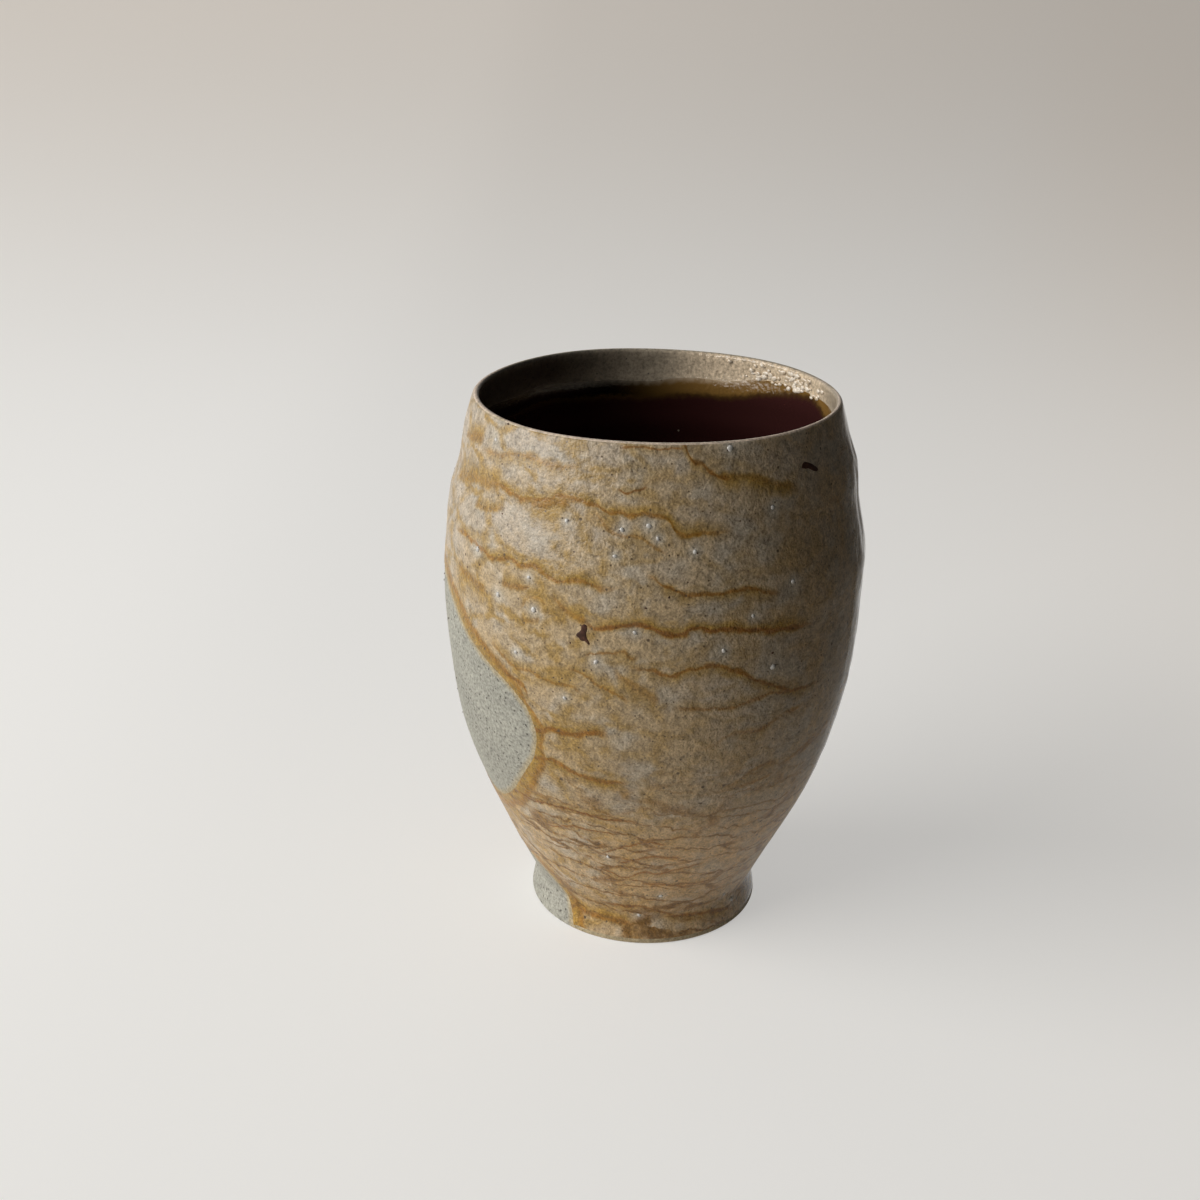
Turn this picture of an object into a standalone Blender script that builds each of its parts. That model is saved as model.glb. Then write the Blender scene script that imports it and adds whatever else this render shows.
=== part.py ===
"""Wood-fired stoneware beer tumbler, in metres, +Z up.

The origin is the centre of the foot's resting face. The front of the tumbler faces -Y, and a place
round its wall is given as a turn from the front, positive towards +X.
"""

from math import copysign, cos, pi, radians, sin, tan

import bmesh
import bpy

# Outside form: radii and heights of the turned profile, from the resting face up
HEIGHT = 0.110
RIM_RADIUS = 0.0349
BELLY_RADIUS = 0.0417
BELLY_HEIGHT = 0.077
WAIST_RADIUS = 0.0232
FOOT_RADIUS = 0.0239
FOOT_HEIGHT = 0.0065

# Lean of the wall from upright where it leaves the waist and where it reaches the rim
WAIST_LEAN = radians(26.0)
RIM_LEAN = radians(17.5)

# How far each end of a wall curve keeps its direction, as a share of that curve's height
WAIST_FULLNESS = 0.41
BELLY_FULLNESS_BELOW = 0.46
BELLY_FULLNESS_ABOVE = 0.25
RIM_FULLNESS = 0.25

# Clay: wall, floor, lip and the underside of the foot
CLAY_WALL = 0.0030
FLOOR = 0.0050
INSIDE_FILLET = 0.012
LIP = 0.0020
LIP_TAPER = 0.012
RECESS_RADIUS = 0.0172
FOOT_EDGE = 0.0008

# Glaze inside, from its line below the lip down over the floor
LINER_THICKNESS = 0.0005
LINER_DROP = 0.0085

# Ash coat outside, from just under the lip to just above the resting face
ASH_THICKNESS = 0.0004
ASH_DROP = 0.0016
ASH_LIFT = 0.0016

# Bare clay on the wall, where no ash landed: a rounded patch, tilted up to the left
PATCH_TURN = radians(-66.0)
PATCH_HEIGHT = 0.051
PATCH_LENGTH = 0.042
PATCH_WIDTH = 0.036
PATCH_TILT = radians(31.0)
PATCH_SQUARENESS = 3.0

# Bare clay on the foot, a round patch cut off by the resting face
FOOT_PATCH_TURN = radians(-75.0)
FOOT_PATCH_HEIGHT = 0.0015
FOOT_PATCH_DIAMETER = 0.029
ROUND_PATCH = 2.0

# Clearance between pieces that touch
GAP = 0.0003

# Facets round the axis, along a wall, and along its smaller curves and outlines
TURN_STEPS = 40
WALL_STEPS = 12
LIP_STEPS = 3
FILLET_STEPS = 5
OUTLINE_STEPS = 36

MERGE_DISTANCE = 0.00001

# Levels and depths that follow from the sizes
COAT_DEPTH = ASH_THICKNESS + GAP
ASH_TOP = HEIGHT - ASH_DROP
LINER_TOP = HEIGHT - LINER_DROP
LIP_BASE = HEIGHT - LIP / 2
FLOOR_TOP = FOOT_HEIGHT + FLOOR
FILLET_TOP = FLOOR_TOP + INSIDE_FILLET


def curve_point(handles, share):
    """Point at a share of the way along a cubic curve given by its four handles."""
    start, leave, arrive, end = handles
    rest = 1 - share
    weights = (rest ** 3, 3 * rest ** 2 * share, 3 * rest * share ** 2, share ** 3)
    return tuple(
        weights[0] * start[i] + weights[1] * leave[i] + weights[2] * arrive[i] + weights[3] * end[i]
        for i in range(2)
    )


def radius_on_curve(handles, z):
    """Radius of a rising curve at a height, found by halving."""
    low, high = 0.0, 1.0
    for _ in range(50):
        middle = (low + high) / 2
        if curve_point(handles, middle)[1] < z:
            low = middle
        else:
            high = middle
    return curve_point(handles, (low + high) / 2)[0]


def lower_wall():
    """Curve from the waist to the belly, where the wall stands upright."""
    rise = BELLY_HEIGHT - FOOT_HEIGHT
    keep = WAIST_FULLNESS * rise
    return (
        (WAIST_RADIUS, FOOT_HEIGHT),
        (WAIST_RADIUS + keep * tan(WAIST_LEAN), FOOT_HEIGHT + keep),
        (BELLY_RADIUS, BELLY_HEIGHT - BELLY_FULLNESS_BELOW * rise),
        (BELLY_RADIUS, BELLY_HEIGHT),
    )


def upper_wall():
    """Curve from the belly to the rim, where the wall leans in."""
    rise = HEIGHT - BELLY_HEIGHT
    keep = RIM_FULLNESS * rise
    return (
        (BELLY_RADIUS, BELLY_HEIGHT),
        (BELLY_RADIUS, BELLY_HEIGHT + BELLY_FULLNESS_ABOVE * rise),
        (RIM_RADIUS + keep * tan(RIM_LEAN), HEIGHT - keep),
        (RIM_RADIUS, HEIGHT),
    )


def outer_radius(z):
    """Radius of the finished outside at a height."""
    if z < FOOT_HEIGHT:
        return FOOT_RADIUS + (WAIST_RADIUS - FOOT_RADIUS) * z / FOOT_HEIGHT
    if z < BELLY_HEIGHT:
        return radius_on_curve(lower_wall(), z)
    return radius_on_curve(upper_wall(), z)


def inner_radius(z):
    """Radius of the clay's inside: the wall thins from its full thickness to the lip."""
    full = COAT_DEPTH + CLAY_WALL
    share = min(1.0, max(0.0, (HEIGHT - z) / LIP_TAPER))
    eased = share * share * (3 - 2 * share)
    return outer_radius(z) - LIP - (full - LIP) * eased


def spaced(low, high, steps):
    """Evenly spaced values from low to high, both included."""
    return [low + (high - low) * i / steps for i in range(steps + 1)]


def inner_face():
    """The clay under the glaze, as points from the axis: floor, fillet, then the wall."""
    wall_foot = inner_radius(FILLET_TOP)
    corner = 2 * wall_foot - inner_radius(FILLET_TOP + INSIDE_FILLET)
    reach = ((wall_foot - corner) ** 2 + INSIDE_FILLET ** 2) ** 0.5
    points = [(0.0, FLOOR_TOP)]
    for share in spaced(0.0, 1.0, FILLET_STEPS)[:-1]:
        rest = 1 - share
        r = rest ** 2 * (corner - reach) + 2 * rest * share * corner + share ** 2 * wall_foot
        points.append((r, FLOOR_TOP + share ** 2 * INSIDE_FILLET))
    points += [(inner_radius(z), z) for z in spaced(FILLET_TOP, LINER_TOP, WALL_STEPS)]
    return points


def ash_heights():
    """Heights of the ash coat's points on the wall, from the waist up."""
    return spaced(FOOT_HEIGHT, ASH_TOP, WALL_STEPS)


def offset(points, distance):
    """Points moved sideways, to the left of their direction, by an even distance."""
    normals = []
    for (r0, z0), (r1, z1) in zip(points, points[1:]):
        length = ((r1 - r0) ** 2 + (z1 - z0) ** 2) ** 0.5
        normals.append(((z0 - z1) / length, (r1 - r0) / length))
    before = [normals[0]] + normals
    after = normals + [normals[-1]]
    moved = []
    for (r, z), a, b in zip(points, before, after):
        spread = distance / (1 + a[0] * b[0] + a[1] * b[1])
        moved.append((r + (a[0] + b[0]) * spread, z + (a[1] + b[1]) * spread))
    return moved


def body_profile():
    """Thrown wall and floor, with a shallow rebate outside for the ash coat."""
    above_glaze = [(inner_radius(z), z) for z in spaced(LINER_TOP, LIP_BASE, LIP_STEPS)[1:]]
    lip_middle = (inner_radius(LIP_BASE) + outer_radius(LIP_BASE)) / 2
    lip_half = (outer_radius(LIP_BASE) - inner_radius(LIP_BASE)) / 2
    lip = []
    for angle in spaced(pi, 0.0, 2 * LIP_STEPS)[1:]:
        lip.append((lip_middle + lip_half * cos(angle), LIP_BASE + (HEIGHT - LIP_BASE) * sin(angle)))
    ledge = ASH_TOP + GAP
    bare_lip = [(outer_radius(ledge), ledge)]
    under_ash = [(outer_radius(z) - COAT_DEPTH, z) for z in [ledge] + ash_heights()[::-1]]
    return inner_face() + above_glaze + lip + bare_lip + under_ash + [(0.0, FOOT_HEIGHT)]


def foot_profile():
    """Closed outline of the foot ring, down its flank, across its resting face and up its recess."""
    joint = FOOT_HEIGHT - GAP
    bare_edge = ASH_LIFT - GAP
    flank = [(outer_radius(z) - COAT_DEPTH, z) for z in (joint, bare_edge)]
    edge = [(outer_radius(bare_edge), bare_edge)]
    for angle in spaced(0.0, pi / 2, LIP_STEPS):
        edge.append((FOOT_RADIUS - FOOT_EDGE * (1 - cos(angle)), FOOT_EDGE * (1 - sin(angle))))
    recess = [
        (RECESS_RADIUS + FOOT_EDGE, 0.0),
        (RECESS_RADIUS, FOOT_EDGE),
        (RECESS_RADIUS, joint),
    ]
    return flank + edge + recess


def liner_profile():
    """Glaze over the clay's inside, from the axis up its open face and back down against the clay."""
    open_face = offset(inner_face(), GAP + LINER_THICKNESS)
    clay_side = offset(inner_face(), GAP)
    return open_face + clay_side[::-1]


def ash_profile():
    """Closed outline of the ash coat, up its clay side and down its open face, over wall and foot."""
    heights = [ASH_LIFT] + ash_heights()
    clay_side = [(outer_radius(z) - ASH_THICKNESS, z) for z in heights]
    open_face = [(outer_radius(z), z) for z in reversed(heights)]
    return clay_side + open_face


def finish(name, colour, roughness):
    """Principled material of one piece."""
    material = bpy.data.materials.new(name)
    material.use_nodes = True
    shader = material.node_tree.nodes["Principled BSDF"]
    shader.inputs["Base Color"].default_value = (*colour, 1.0)
    shader.inputs["Roughness"].default_value = roughness
    shader.inputs["Metallic"].default_value = 0.0
    return material


def add_object(name, mesh):
    piece = bpy.data.objects.new(name, mesh)
    bpy.context.collection.objects.link(piece)
    return piece


def turned_piece(name, profile, closed, material):
    """Piece turned about the upright axis from a profile of radius and height."""
    count = len(profile)
    edges = [(i, i + 1) for i in range(count - 1)]
    if closed:
        edges.append((count - 1, 0))
    mesh = bpy.data.meshes.new(name)
    mesh.from_pydata([(r, 0.0, z) for r, z in profile], edges, [])
    mesh.materials.append(material)
    piece = add_object(name, mesh)
    screw = piece.modifiers.new("turn", "SCREW")
    screw.axis = "Z"
    screw.angle = 2 * pi
    screw.steps = TURN_STEPS
    screw.render_steps = TURN_STEPS
    screw.use_merge_vertices = True
    screw.merge_threshold = MERGE_DISTANCE
    screw.use_smooth_shade = True
    return piece


def patch_cutter(name, turn, height, length, width, tilt, squareness):
    """Rounded prism that points out from the axis, through the wall, where the clay is bare."""
    outline = []
    for step in range(OUTLINE_STEPS):
        angle = 2 * pi * step / OUTLINE_STEPS
        x = copysign(abs(cos(angle)) ** (2 / squareness), cos(angle)) * length / 2
        z = copysign(abs(sin(angle)) ** (2 / squareness), sin(angle)) * width / 2
        outline.append((x * cos(tilt) + z * sin(tilt), z * cos(tilt) - x * sin(tilt)))
    shape = bmesh.new()
    face = shape.faces.new([shape.verts.new((x, 0.0, z)) for x, z in outline])
    end = bmesh.ops.extrude_face_region(shape, geom=[face])["geom"]
    moving = [item for item in end if isinstance(item, bmesh.types.BMVert)]
    bmesh.ops.translate(shape, verts=moving, vec=(0.0, -2 * BELLY_RADIUS, 0.0))
    bmesh.ops.recalc_face_normals(shape, faces=shape.faces)
    mesh = bpy.data.meshes.new(name)
    shape.to_mesh(mesh)
    shape.free()
    cutter = add_object(name, mesh)
    cutter.location = (0.0, 0.0, height)
    cutter.rotation_euler = (0.0, 0.0, turn)
    cutter.hide_render = True
    cutter.display_type = "WIRE"
    return cutter


def cut(piece, cutter):
    boolean = piece.modifiers.new(cutter.name, "BOOLEAN")
    boolean.operation = "DIFFERENCE"
    boolean.solver = "EXACT"
    boolean.object = cutter


def main():
    for old in list(bpy.data.objects):
        bpy.data.objects.remove(old, do_unlink=True)

    body_clay = finish("body_clay", (0.33, 0.32, 0.28), 0.75)
    foot_clay = finish("foot_clay", (0.34, 0.33, 0.29), 0.80)
    iron_glaze = finish("iron_glaze", (0.030, 0.010, 0.010), 0.12)
    fly_ash = finish("fly_ash", (0.36, 0.27, 0.16), 0.50)

    body = turned_piece("thrown_body", body_profile(), False, body_clay)
    foot = turned_piece("foot_ring", foot_profile(), True, foot_clay)
    liner = turned_piece("liner_glaze", liner_profile(), False, iron_glaze)
    ash = turned_piece("ash_coat", ash_profile(), True, fly_ash)

    cut(ash, patch_cutter(
        "wall_patch_cutter", PATCH_TURN, PATCH_HEIGHT, PATCH_LENGTH, PATCH_WIDTH, PATCH_TILT,
        PATCH_SQUARENESS,
    ))
    cut(ash, patch_cutter(
        "foot_patch_cutter", FOOT_PATCH_TURN, FOOT_PATCH_HEIGHT, FOOT_PATCH_DIAMETER,
        FOOT_PATCH_DIAMETER, 0.0, ROUND_PATCH,
    ))

    tumbler = add_object("tumbler", None)
    for piece in (body, foot, liner, ash):
        piece.parent = tumbler


main()
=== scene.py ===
"""Looks of the beer tumbler: thrown clay, poured iron glaze, and melted fly ash with its veins and stones.

Lengths are in metres, +Z up. A place on the wall is a turn from the front, which faces -Y, positive
towards +X, and a height above the resting face.
"""

import random
from collections import namedtuple
from functools import reduce
from math import atan2, cos, pi, radians, sin, tan

import bmesh
import bpy
import numpy as np
from bpy.props import FloatProperty, FloatVectorProperty, IntProperty, PointerProperty
from bpy.types import Operator, Panel, PropertyGroup
from mathutils import Matrix, Vector, noise


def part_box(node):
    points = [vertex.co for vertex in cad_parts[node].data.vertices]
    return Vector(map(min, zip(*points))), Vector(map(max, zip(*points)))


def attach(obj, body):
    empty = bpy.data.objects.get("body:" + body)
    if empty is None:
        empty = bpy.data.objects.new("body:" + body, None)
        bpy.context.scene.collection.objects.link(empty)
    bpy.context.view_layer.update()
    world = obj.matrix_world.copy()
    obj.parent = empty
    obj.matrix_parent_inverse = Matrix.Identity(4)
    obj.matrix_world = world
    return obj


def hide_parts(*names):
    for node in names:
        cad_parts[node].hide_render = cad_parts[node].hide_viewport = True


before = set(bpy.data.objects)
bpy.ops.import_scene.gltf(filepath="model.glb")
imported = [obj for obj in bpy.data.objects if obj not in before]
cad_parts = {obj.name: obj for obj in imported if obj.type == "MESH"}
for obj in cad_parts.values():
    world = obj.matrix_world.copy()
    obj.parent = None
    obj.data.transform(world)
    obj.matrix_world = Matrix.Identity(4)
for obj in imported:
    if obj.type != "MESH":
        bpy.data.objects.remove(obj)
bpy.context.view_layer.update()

bl_info = {
    "name": "Beer Tumbler",
    "version": (1, 0, 0),
    "blender": (4, 5, 0),
    "location": "View3D > Sidebar > Tumbler",
    "description": "Models and finishes a wood-fired stoneware beer tumbler around its packed frame",
    "category": "Object",
}

BODY = "root"
MM = 0.001
MERGE_DISTANCE = 0.000001
FAR_INSIDE = 0.010
SMOOTH_ANGLE = radians(55.0)

BODY_LOW, BODY_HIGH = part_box("thrown_body")
FOOT_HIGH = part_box("foot_ring")[1]

# Camera of the photograph, worked out from the tumbler's outline in its 1200 x 1200 pixels
IMAGE_SIZE = 1200
FOCAL_PIXELS = 1572.8
SENSOR_WIDTH = 36.0
CAMERA_PLACE = (0.0, -0.2952, 0.1878)
CAMERA_PITCH = radians(22.40)
CAMERA_ROLL = radians(0.96)
CAMERA_PAN = radians(-2.01)
SIGHT_NEAR = 0.20
SIGHT_FAR = 0.42
SIGHT_STEPS = 4000

# Throwing spiral outside: heights of its crests on the left side from the rim down, and the heights over
# which it begins above the foot and grows to its full depth
RING_CRESTS = (0.1045, 0.0905, 0.0700, 0.0420, 0.0130)
RING_LEFT = radians(-85.0)
RING_START = 0.004, 0.014
RING_GROWTH = 0.060, 0.095

# Throwing spiral inside: its rise in one turn, the stretch under the lip where it dies away, and the radii
# over which it begins on the floor
INSIDE_RING = 0.0085
INSIDE_CALM = 0.006
FLOOR_CALM = 0.004, 0.022

# How far the thrown wall is from round and from upright, the heights over which that grows, and the stretch
# under the lip that rises and falls with it
OVAL = 0.00012
THREE_SIDED = 0.00008
LEAN = 0.00028
UNEVEN_GROWTH = 0.050, 0.110
LIP_WAVER_REACH = 0.020

# Melted ash that ran down one side: the heights over which its ridges begin, end and stand out more, how
# many there would be in a full turn, and the heights of the waves in which they waver
RUN_FOOT = 0.026, 0.044
RUN_HEAD = 0.099, 0.107
RUN_LOW = 0.080, 0.066
RUN_RIDGES = 34.0, 61.0
RUN_WAVES = 0.0215, 0.0105

# Where the melted ash gathered in a lump
LUMP_EDGE = radians(65.0), radians(67.5)
LUMP_BACK = radians(72.0), radians(88.0)
LUMP_FOOT = 0.056, 0.072
LUMP_HEAD = 0.0800, 0.0835

# Fine unevenness of the ash: its depth, its blots to a radian and to a metre and its layer of noise, and how
# far from the edge it begins. Then how deep the edge is tucked into the clay, and a halo's width in stones
ASH_WAVES = ((0.00004, 16.0, 420.0, 1.0), (0.00005, 5.0, 130.0, 7.0))
ASH_WAVES_FADE = 0.004
COAT_TUCK = 0.00004
HALO_SPREAD = 1.9

# Glaze inside: how far below the lip it stays, the rounding of that limit, where it thins at its upper edge,
# how far the thin edge and the back lie in the clay, and the height from which its edge pulls it up or down
GLAZE_CLEAR = 0.0022
GLAZE_ROUNDING = 0.0012
GLAZE_THINS = 0.006
GLAZE_TUCK = 0.00006
GLAZE_BACK = 0.0002
GLAZE_PULL = 0.060

# Foot: distance between rows of facets on its flank and inside the edge over it, height of the edge where the
# recess ends, and how far from its inner and outer side the wall's unevenness begins and is whole
FLANK_ROW = 0.0005
UNDER_EDGE = 0.001
RECESS_EDGE = 0.0001
FOOT_EVEN = 0.002
FOOT_UNEVEN = 0.001

# Outlines of the two bare patches, as turns in degrees and heights in millimetres, and their side of the wall
PATCH_SIDE = radians(-70.0)
WALL_PATCH = (
    (-66, 72.1), (-56, 67.6), (-47.6, 64.6), (-41, 62.3), (-36.7, 60), (-33.1, 57.3), (-31.5, 53),
    (-32.6, 48), (-36, 44.2), (-43.3, 37.6), (-50.7, 33.5), (-58.8, 31.1), (-71, 31.3), (-84, 35.5),
    (-96, 43), (-103, 53), (-103, 63), (-95, 71), (-80, 75),
)
FOOT_PATCH = (
    (-55, 13.2), (-46.5, 10.3), (-41, 6), (-37.3, 2), (-38, -3), (-75, -8), (-112, -3), (-110, 6),
    (-99, 11.5), (-84, 15), (-68, 15.4),
)

# Width in millimetres of the ochre band along the patches' edges, at pixels on the edge
BAND_WIDTHS = (
    ((485, 640), 3.8), ((520, 683), 2.9), ((533, 706), 1.2), ((541, 728), 2.9), ((542, 745), 1.8),
    ((539, 762), 3.1), ((515, 786), 3.6), ((562, 890), 3.3),
)

# A vein of melted ash: its route in pixels of the photograph, half its width in millimetres, the strength of
# its haze and of its core, how far the core turns to rust, and the haze's side, 1 above it and -1 below
Vein = namedtuple("Vein", "route width haze core rust side")
FRONT_VEINS = {
    "shoulder": Vein((
        (482, 447), (492, 452), (499, 455), (510, 455), (524, 455), (538, 460), (552, 464), (582, 465),
    ), 0.55, 0.8, 0.45, 0.0, -1),
    "shoulder_blot": Vein(((466, 433), (475, 437), (484, 439)), 0.80, 0.9, 0.5, 0.1, 1),
    "upper_blot": Vein(((456, 472), (474, 479), (488, 483), (506, 487)), 1.20, 0.95, 0.4, 0.0, 1),
    "middle_blot": Vein(((474, 502), (484, 507), (494, 508), (504, 506)), 0.60, 0.95, 0.3, 0.2, 1),
    "upper": Vein((
        (482, 484), (499, 486), (513, 494), (523, 500), (538, 500), (549, 499), (561, 494), (570, 498),
        (584, 501), (596, 505), (606, 511), (618, 512), (631, 516), (644, 513), (662, 517), (671, 523),
        (676, 531), (685, 535), (702, 533), (716, 533), (735, 529),
    ), 0.50, 1.0, 0.85, 0.1, 1),
    "upper_pool": Vein(((527, 503), (543, 505), (557, 501), (572, 503)), 0.80, 0.9, 0.6, 0.15, -1),
    "upper_branch": Vein((
        (592, 512), (600, 519), (606, 526), (614, 533), (627, 537), (641, 538), (650, 544), (658, 551),
        (668, 552),
    ), 0.50, 0.8, 0.5, 0.0, 1),
    "branch_haze": Vein(((582, 515), (594, 520), (608, 523), (622, 531)), 1.20, 0.8, 0.1, 0.0, 1),
    "lip_line": Vein(((618, 445), (640, 447), (655, 448), (674, 448), (686, 447)), 0.25, 0.5, 0.6, 0.9, -1),
    "lip_fall": Vein((
        (676, 438), (686, 446), (692, 458), (703, 465), (711, 473), (722, 476), (732, 477),
    ), 0.42, 0.7, 0.8, 0.6, -1),
    "lip_haze": Vein((
        (703, 467), (712, 474), (724, 476), (740, 476), (757, 479), (775, 483), (800, 488),
    ), 0.60, 0.9, 0.35, 0.2, -1),
    "lip_dash": Vein(((618, 487), (631, 492), (648, 488)), 0.28, 0.4, 0.7, 0.9, 1),
    "lip_dash_tail": Vein(((640, 488), (652, 481), (662, 476), (676, 474)), 0.60, 0.5, 0.1, 0.0, 1),
    "belly_left": Vein((
        (455, 527), (466, 535), (476, 543), (484, 552), (491, 558), (500, 559), (513, 560), (520, 565),
        (538, 567), (547, 574), (555, 579), (566, 581), (580, 580), (592, 585), (606, 588), (622, 587),
    ), 0.48, 1.0, 0.85, 0.1, 1),
    "belly_right": Vein((
        (646, 574), (655, 577), (662, 585), (669, 588), (685, 595), (702, 594), (722, 593), (743, 589),
        (762, 591), (781, 592),
    ), 0.42, 0.8, 0.85, 0.3, -1),
    "left_blot": Vein(((457, 568), (465, 574), (474, 582), (486, 592)), 0.90, 1.0, 0.5, 0.1, -1),
    "left_dash": Vein(((500, 582), (512, 586), (524, 588), (530, 587)), 0.60, 0.9, 0.6, 0.3, 1),
    "stone_ring": Vein(((519, 609), (525, 601), (534, 598), (544, 602), (548, 608)), 0.35, 0.9, 0.4, 0.0, 1),
    "middle_dash": Vein(((520, 619), (529, 621), (540, 620)), 0.60, 0.9, 0.4, 0.0, 1),
    "middle_pool": Vein(((522, 598), (538, 604), (556, 612), (570, 618)), 1.50, 1.0, 0.1, 0.0, 1),
    "middle_left": Vein(((550, 592), (557, 602), (565, 611), (575, 617), (588, 622)), 0.70, 1.0, 0.6, 0.1, 1),
    "strong": Vein((
        (572, 619), (580, 622), (590, 626), (599, 629), (615, 627), (627, 625), (637, 624), (648, 627),
        (662, 632), (674, 635), (683, 635), (690, 631), (700, 629), (713, 631), (728, 630), (740, 629),
        (763, 631), (781, 629), (802, 625), (814, 623),
    ), 0.55, 1.0, 1.0, 0.65, 1),
    "under_strong": Vein((
        (582, 655), (595, 654), (605, 652), (616, 653), (624, 651), (629, 656), (640, 658),
    ), 0.32, 0.7, 0.6, 0.4, -1),
    "lower_right": Vein((
        (628, 667), (637, 668), (655, 670), (667, 675), (674, 675), (687, 670), (702, 668), (718, 666),
        (728, 668), (740, 671), (747, 676), (771, 685), (802, 687), (818, 678),
    ), 0.45, 0.9, 0.85, 0.5, -1),
    "rust_pool": Vein(((612, 672), (624, 679), (640, 690), (660, 700)), 1.10, 0.8, 0.3, 0.5, -1),
    "lower_left": Vein(((568, 668), (580, 673), (592, 681), (608, 691), (630, 700)), 0.42, 0.9, 0.6, 0.3, 1),
    "patch_twin": Vein((
        (490, 640), (502, 653), (510, 662), (519, 668), (532, 673), (544, 679), (558, 683), (569, 686),
        (586, 696),
    ), 0.40, 0.9, 0.6, 0.1, 1),
    "patch_spur": Vein((
        (524, 728), (536, 730), (552, 729), (562, 733), (577, 735), (592, 733), (610, 735),
    ), 0.80, 1.0, 1.0, 0.4, 1),
    "patch_knot": Vein(((503, 669), (511, 676), (519, 682), (525, 689), (529, 697)), 0.70, 0.8, 0.9, 0.4, -1),
    "patch_low_spur": Vein((
        (524, 760), (536, 759), (552, 761), (573, 771), (587, 778), (606, 782), (630, 784),
    ), 0.55, 1.0, 0.95, 0.35, -1),
    "low_line": Vein(((669, 708), (696, 709), (725, 708), (770, 694), (810, 686)), 0.40, 0.6, 0.6, 0.5, 1),
    "patch_foot": Vein((
        (482, 766), (490, 776), (503, 784), (519, 792), (533, 799), (550, 804), (575, 811), (600, 817),
        (620, 820), (647, 823),
    ), 0.26, 0.8, 1.0, 0.8, 1),
    "low_first": Vein((
        (538, 818), (550, 825), (570, 826), (590, 830), (606, 833), (622, 834),
    ), 0.28, 0.6, 0.9, 0.6, -1),
    "low_second": Vein(((598, 856), (616, 849), (633, 845), (645, 843), (668, 845)), 0.28, 0.6, 0.9, 0.6, 1),
    "low_third": Vein(((616, 864), (633, 861), (649, 857), (666, 858), (682, 858)), 0.28, 0.6, 0.9, 0.6, -1),
    "low_fourth": Vein((
        (592, 866), (610, 873), (623, 878), (643, 873), (659, 874), (676, 870), (692, 866), (706, 862),
    ), 0.30, 0.6, 0.9, 0.6, -1),
    "low_fifth": Vein(((640, 884), (659, 884), (679, 886), (699, 883), (714, 880)), 0.30, 0.6, 0.9, 0.6, 1),
    "foot_band": Vein((
        (534, 855), (550, 870), (561, 880), (571, 894), (583, 908), (600, 917), (621, 921), (640, 929),
    ), 0.75, 1.0, 0.8, 0.3, 1),
    "foot_vein": Vein((
        (596, 900), (606, 903), (624, 906), (642, 907), (658, 911), (674, 915), (699, 913), (720, 910),
        (736, 907),
    ), 0.45, 0.9, 0.85, 0.5, -1),
}

# Feldspar stones that show in the photograph, in pixels
FRONT_STONES = (
    (496, 438), (566, 521), (622, 530), (649, 526), (658, 539), (615, 556), (695, 552), (478, 549),
    (529, 577), (497, 595), (533, 610), (516, 652), (596, 662), (724, 651), (792, 581), (773, 667),
    (565, 698), (753, 616), (730, 448), (608, 857), (661, 896), (639, 915), (724, 894), (731, 899),
    (772, 507), (635, 633),
)
# Small iron specks that show in the photograph, in pixels
FRONT_SPECKS = (
    (484, 507), (501, 514), (508, 422), (466, 567), (479, 565), (570, 643), (544, 643), (669, 597),
    (646, 608), (806, 645), (773, 653), (538, 820), (580, 862), (463, 712),
)
# Outlines of the two large iron flakes, in pixels
FRONT_FLAKES = (
    (
        (581, 626), (584, 624), (587, 626), (587, 630), (586, 634), (587, 639), (590, 644), (589, 646),
        (585, 642), (581, 641), (578.5, 638.5), (575.5, 635), (578.5, 632), (580.5, 630),
    ),
    (
        (803.5, 462), (807.5, 462), (812.5, 464), (818, 468.5), (817, 471), (813.5, 471), (810, 469),
        (807, 468), (803.5, 469.5), (801.5, 467.5),
    ),
)

# Painted bounce light: how much brighter and warmer the ash is made towards the foot, in red, green and blue
PAINTED_BOUNCE_WARMTH = (1.32, 1.23, 1.09)

# Stones and specks round the back, drawn from a seed: how many, their turns in degrees and their heights,
# and the stones' sizes and distance from the bare patches
SEED = 31
BACK_STONES = 52
STONE_TURNS = 100.0, 285.0
STONE_HEIGHTS = 0.006, 0.105
STONE_SIZES = (0.6, 0.8, 0.9, 1.0, 1.2, 1.5)
STONE_CLEAR = 0.003
BACK_SPECKS = 90
SPECK_TURNS = 100.0, 290.0
SPECK_HEIGHTS = 0.004, 0.107

# Form of a stone, a speck, the pit beside a stone and a flake, and the step over which the wall's slope is
# taken for them. A stone's rise and a pit's size and distance are shares of the stone, and a pit is moved
# round a wall of about this radius
STONE_RISE = 0.50
STONE_SUNK = 0.00002
SPECK_RADIUS = 0.00024
SPECK_RISE = 0.00007
SPECK_SUNK = 0.00003
PIT_SIZE = 0.75
PIT_ASIDE = 0.9
PIT_WALL_RADIUS = 0.040
FLAKE_RISE = 0.00016
FLAKE_SUNK = 0.00004
DAB_STEP = 0.0005

# Veins round the back: how many, the lowest, the step between them and how far they stray, the turns in
# degrees where they begin at each height and where they all end, and the length and rise of their bends
BACK_VEINS = 14
VEIN_LOWEST = 0.014
VEIN_STEP = 0.0067
VEIN_STRAY = 0.0016
VEIN_STARTS = ((0.034, 22.0), (0.036, 2.0), (0.054, 2.0), (0.056, 50.0))
VEIN_START_SPREAD = 16.0
VEIN_END = 292.0
VEIN_BEND = 4.0, 9.0
VEIN_RISE = 0.0024

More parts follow.
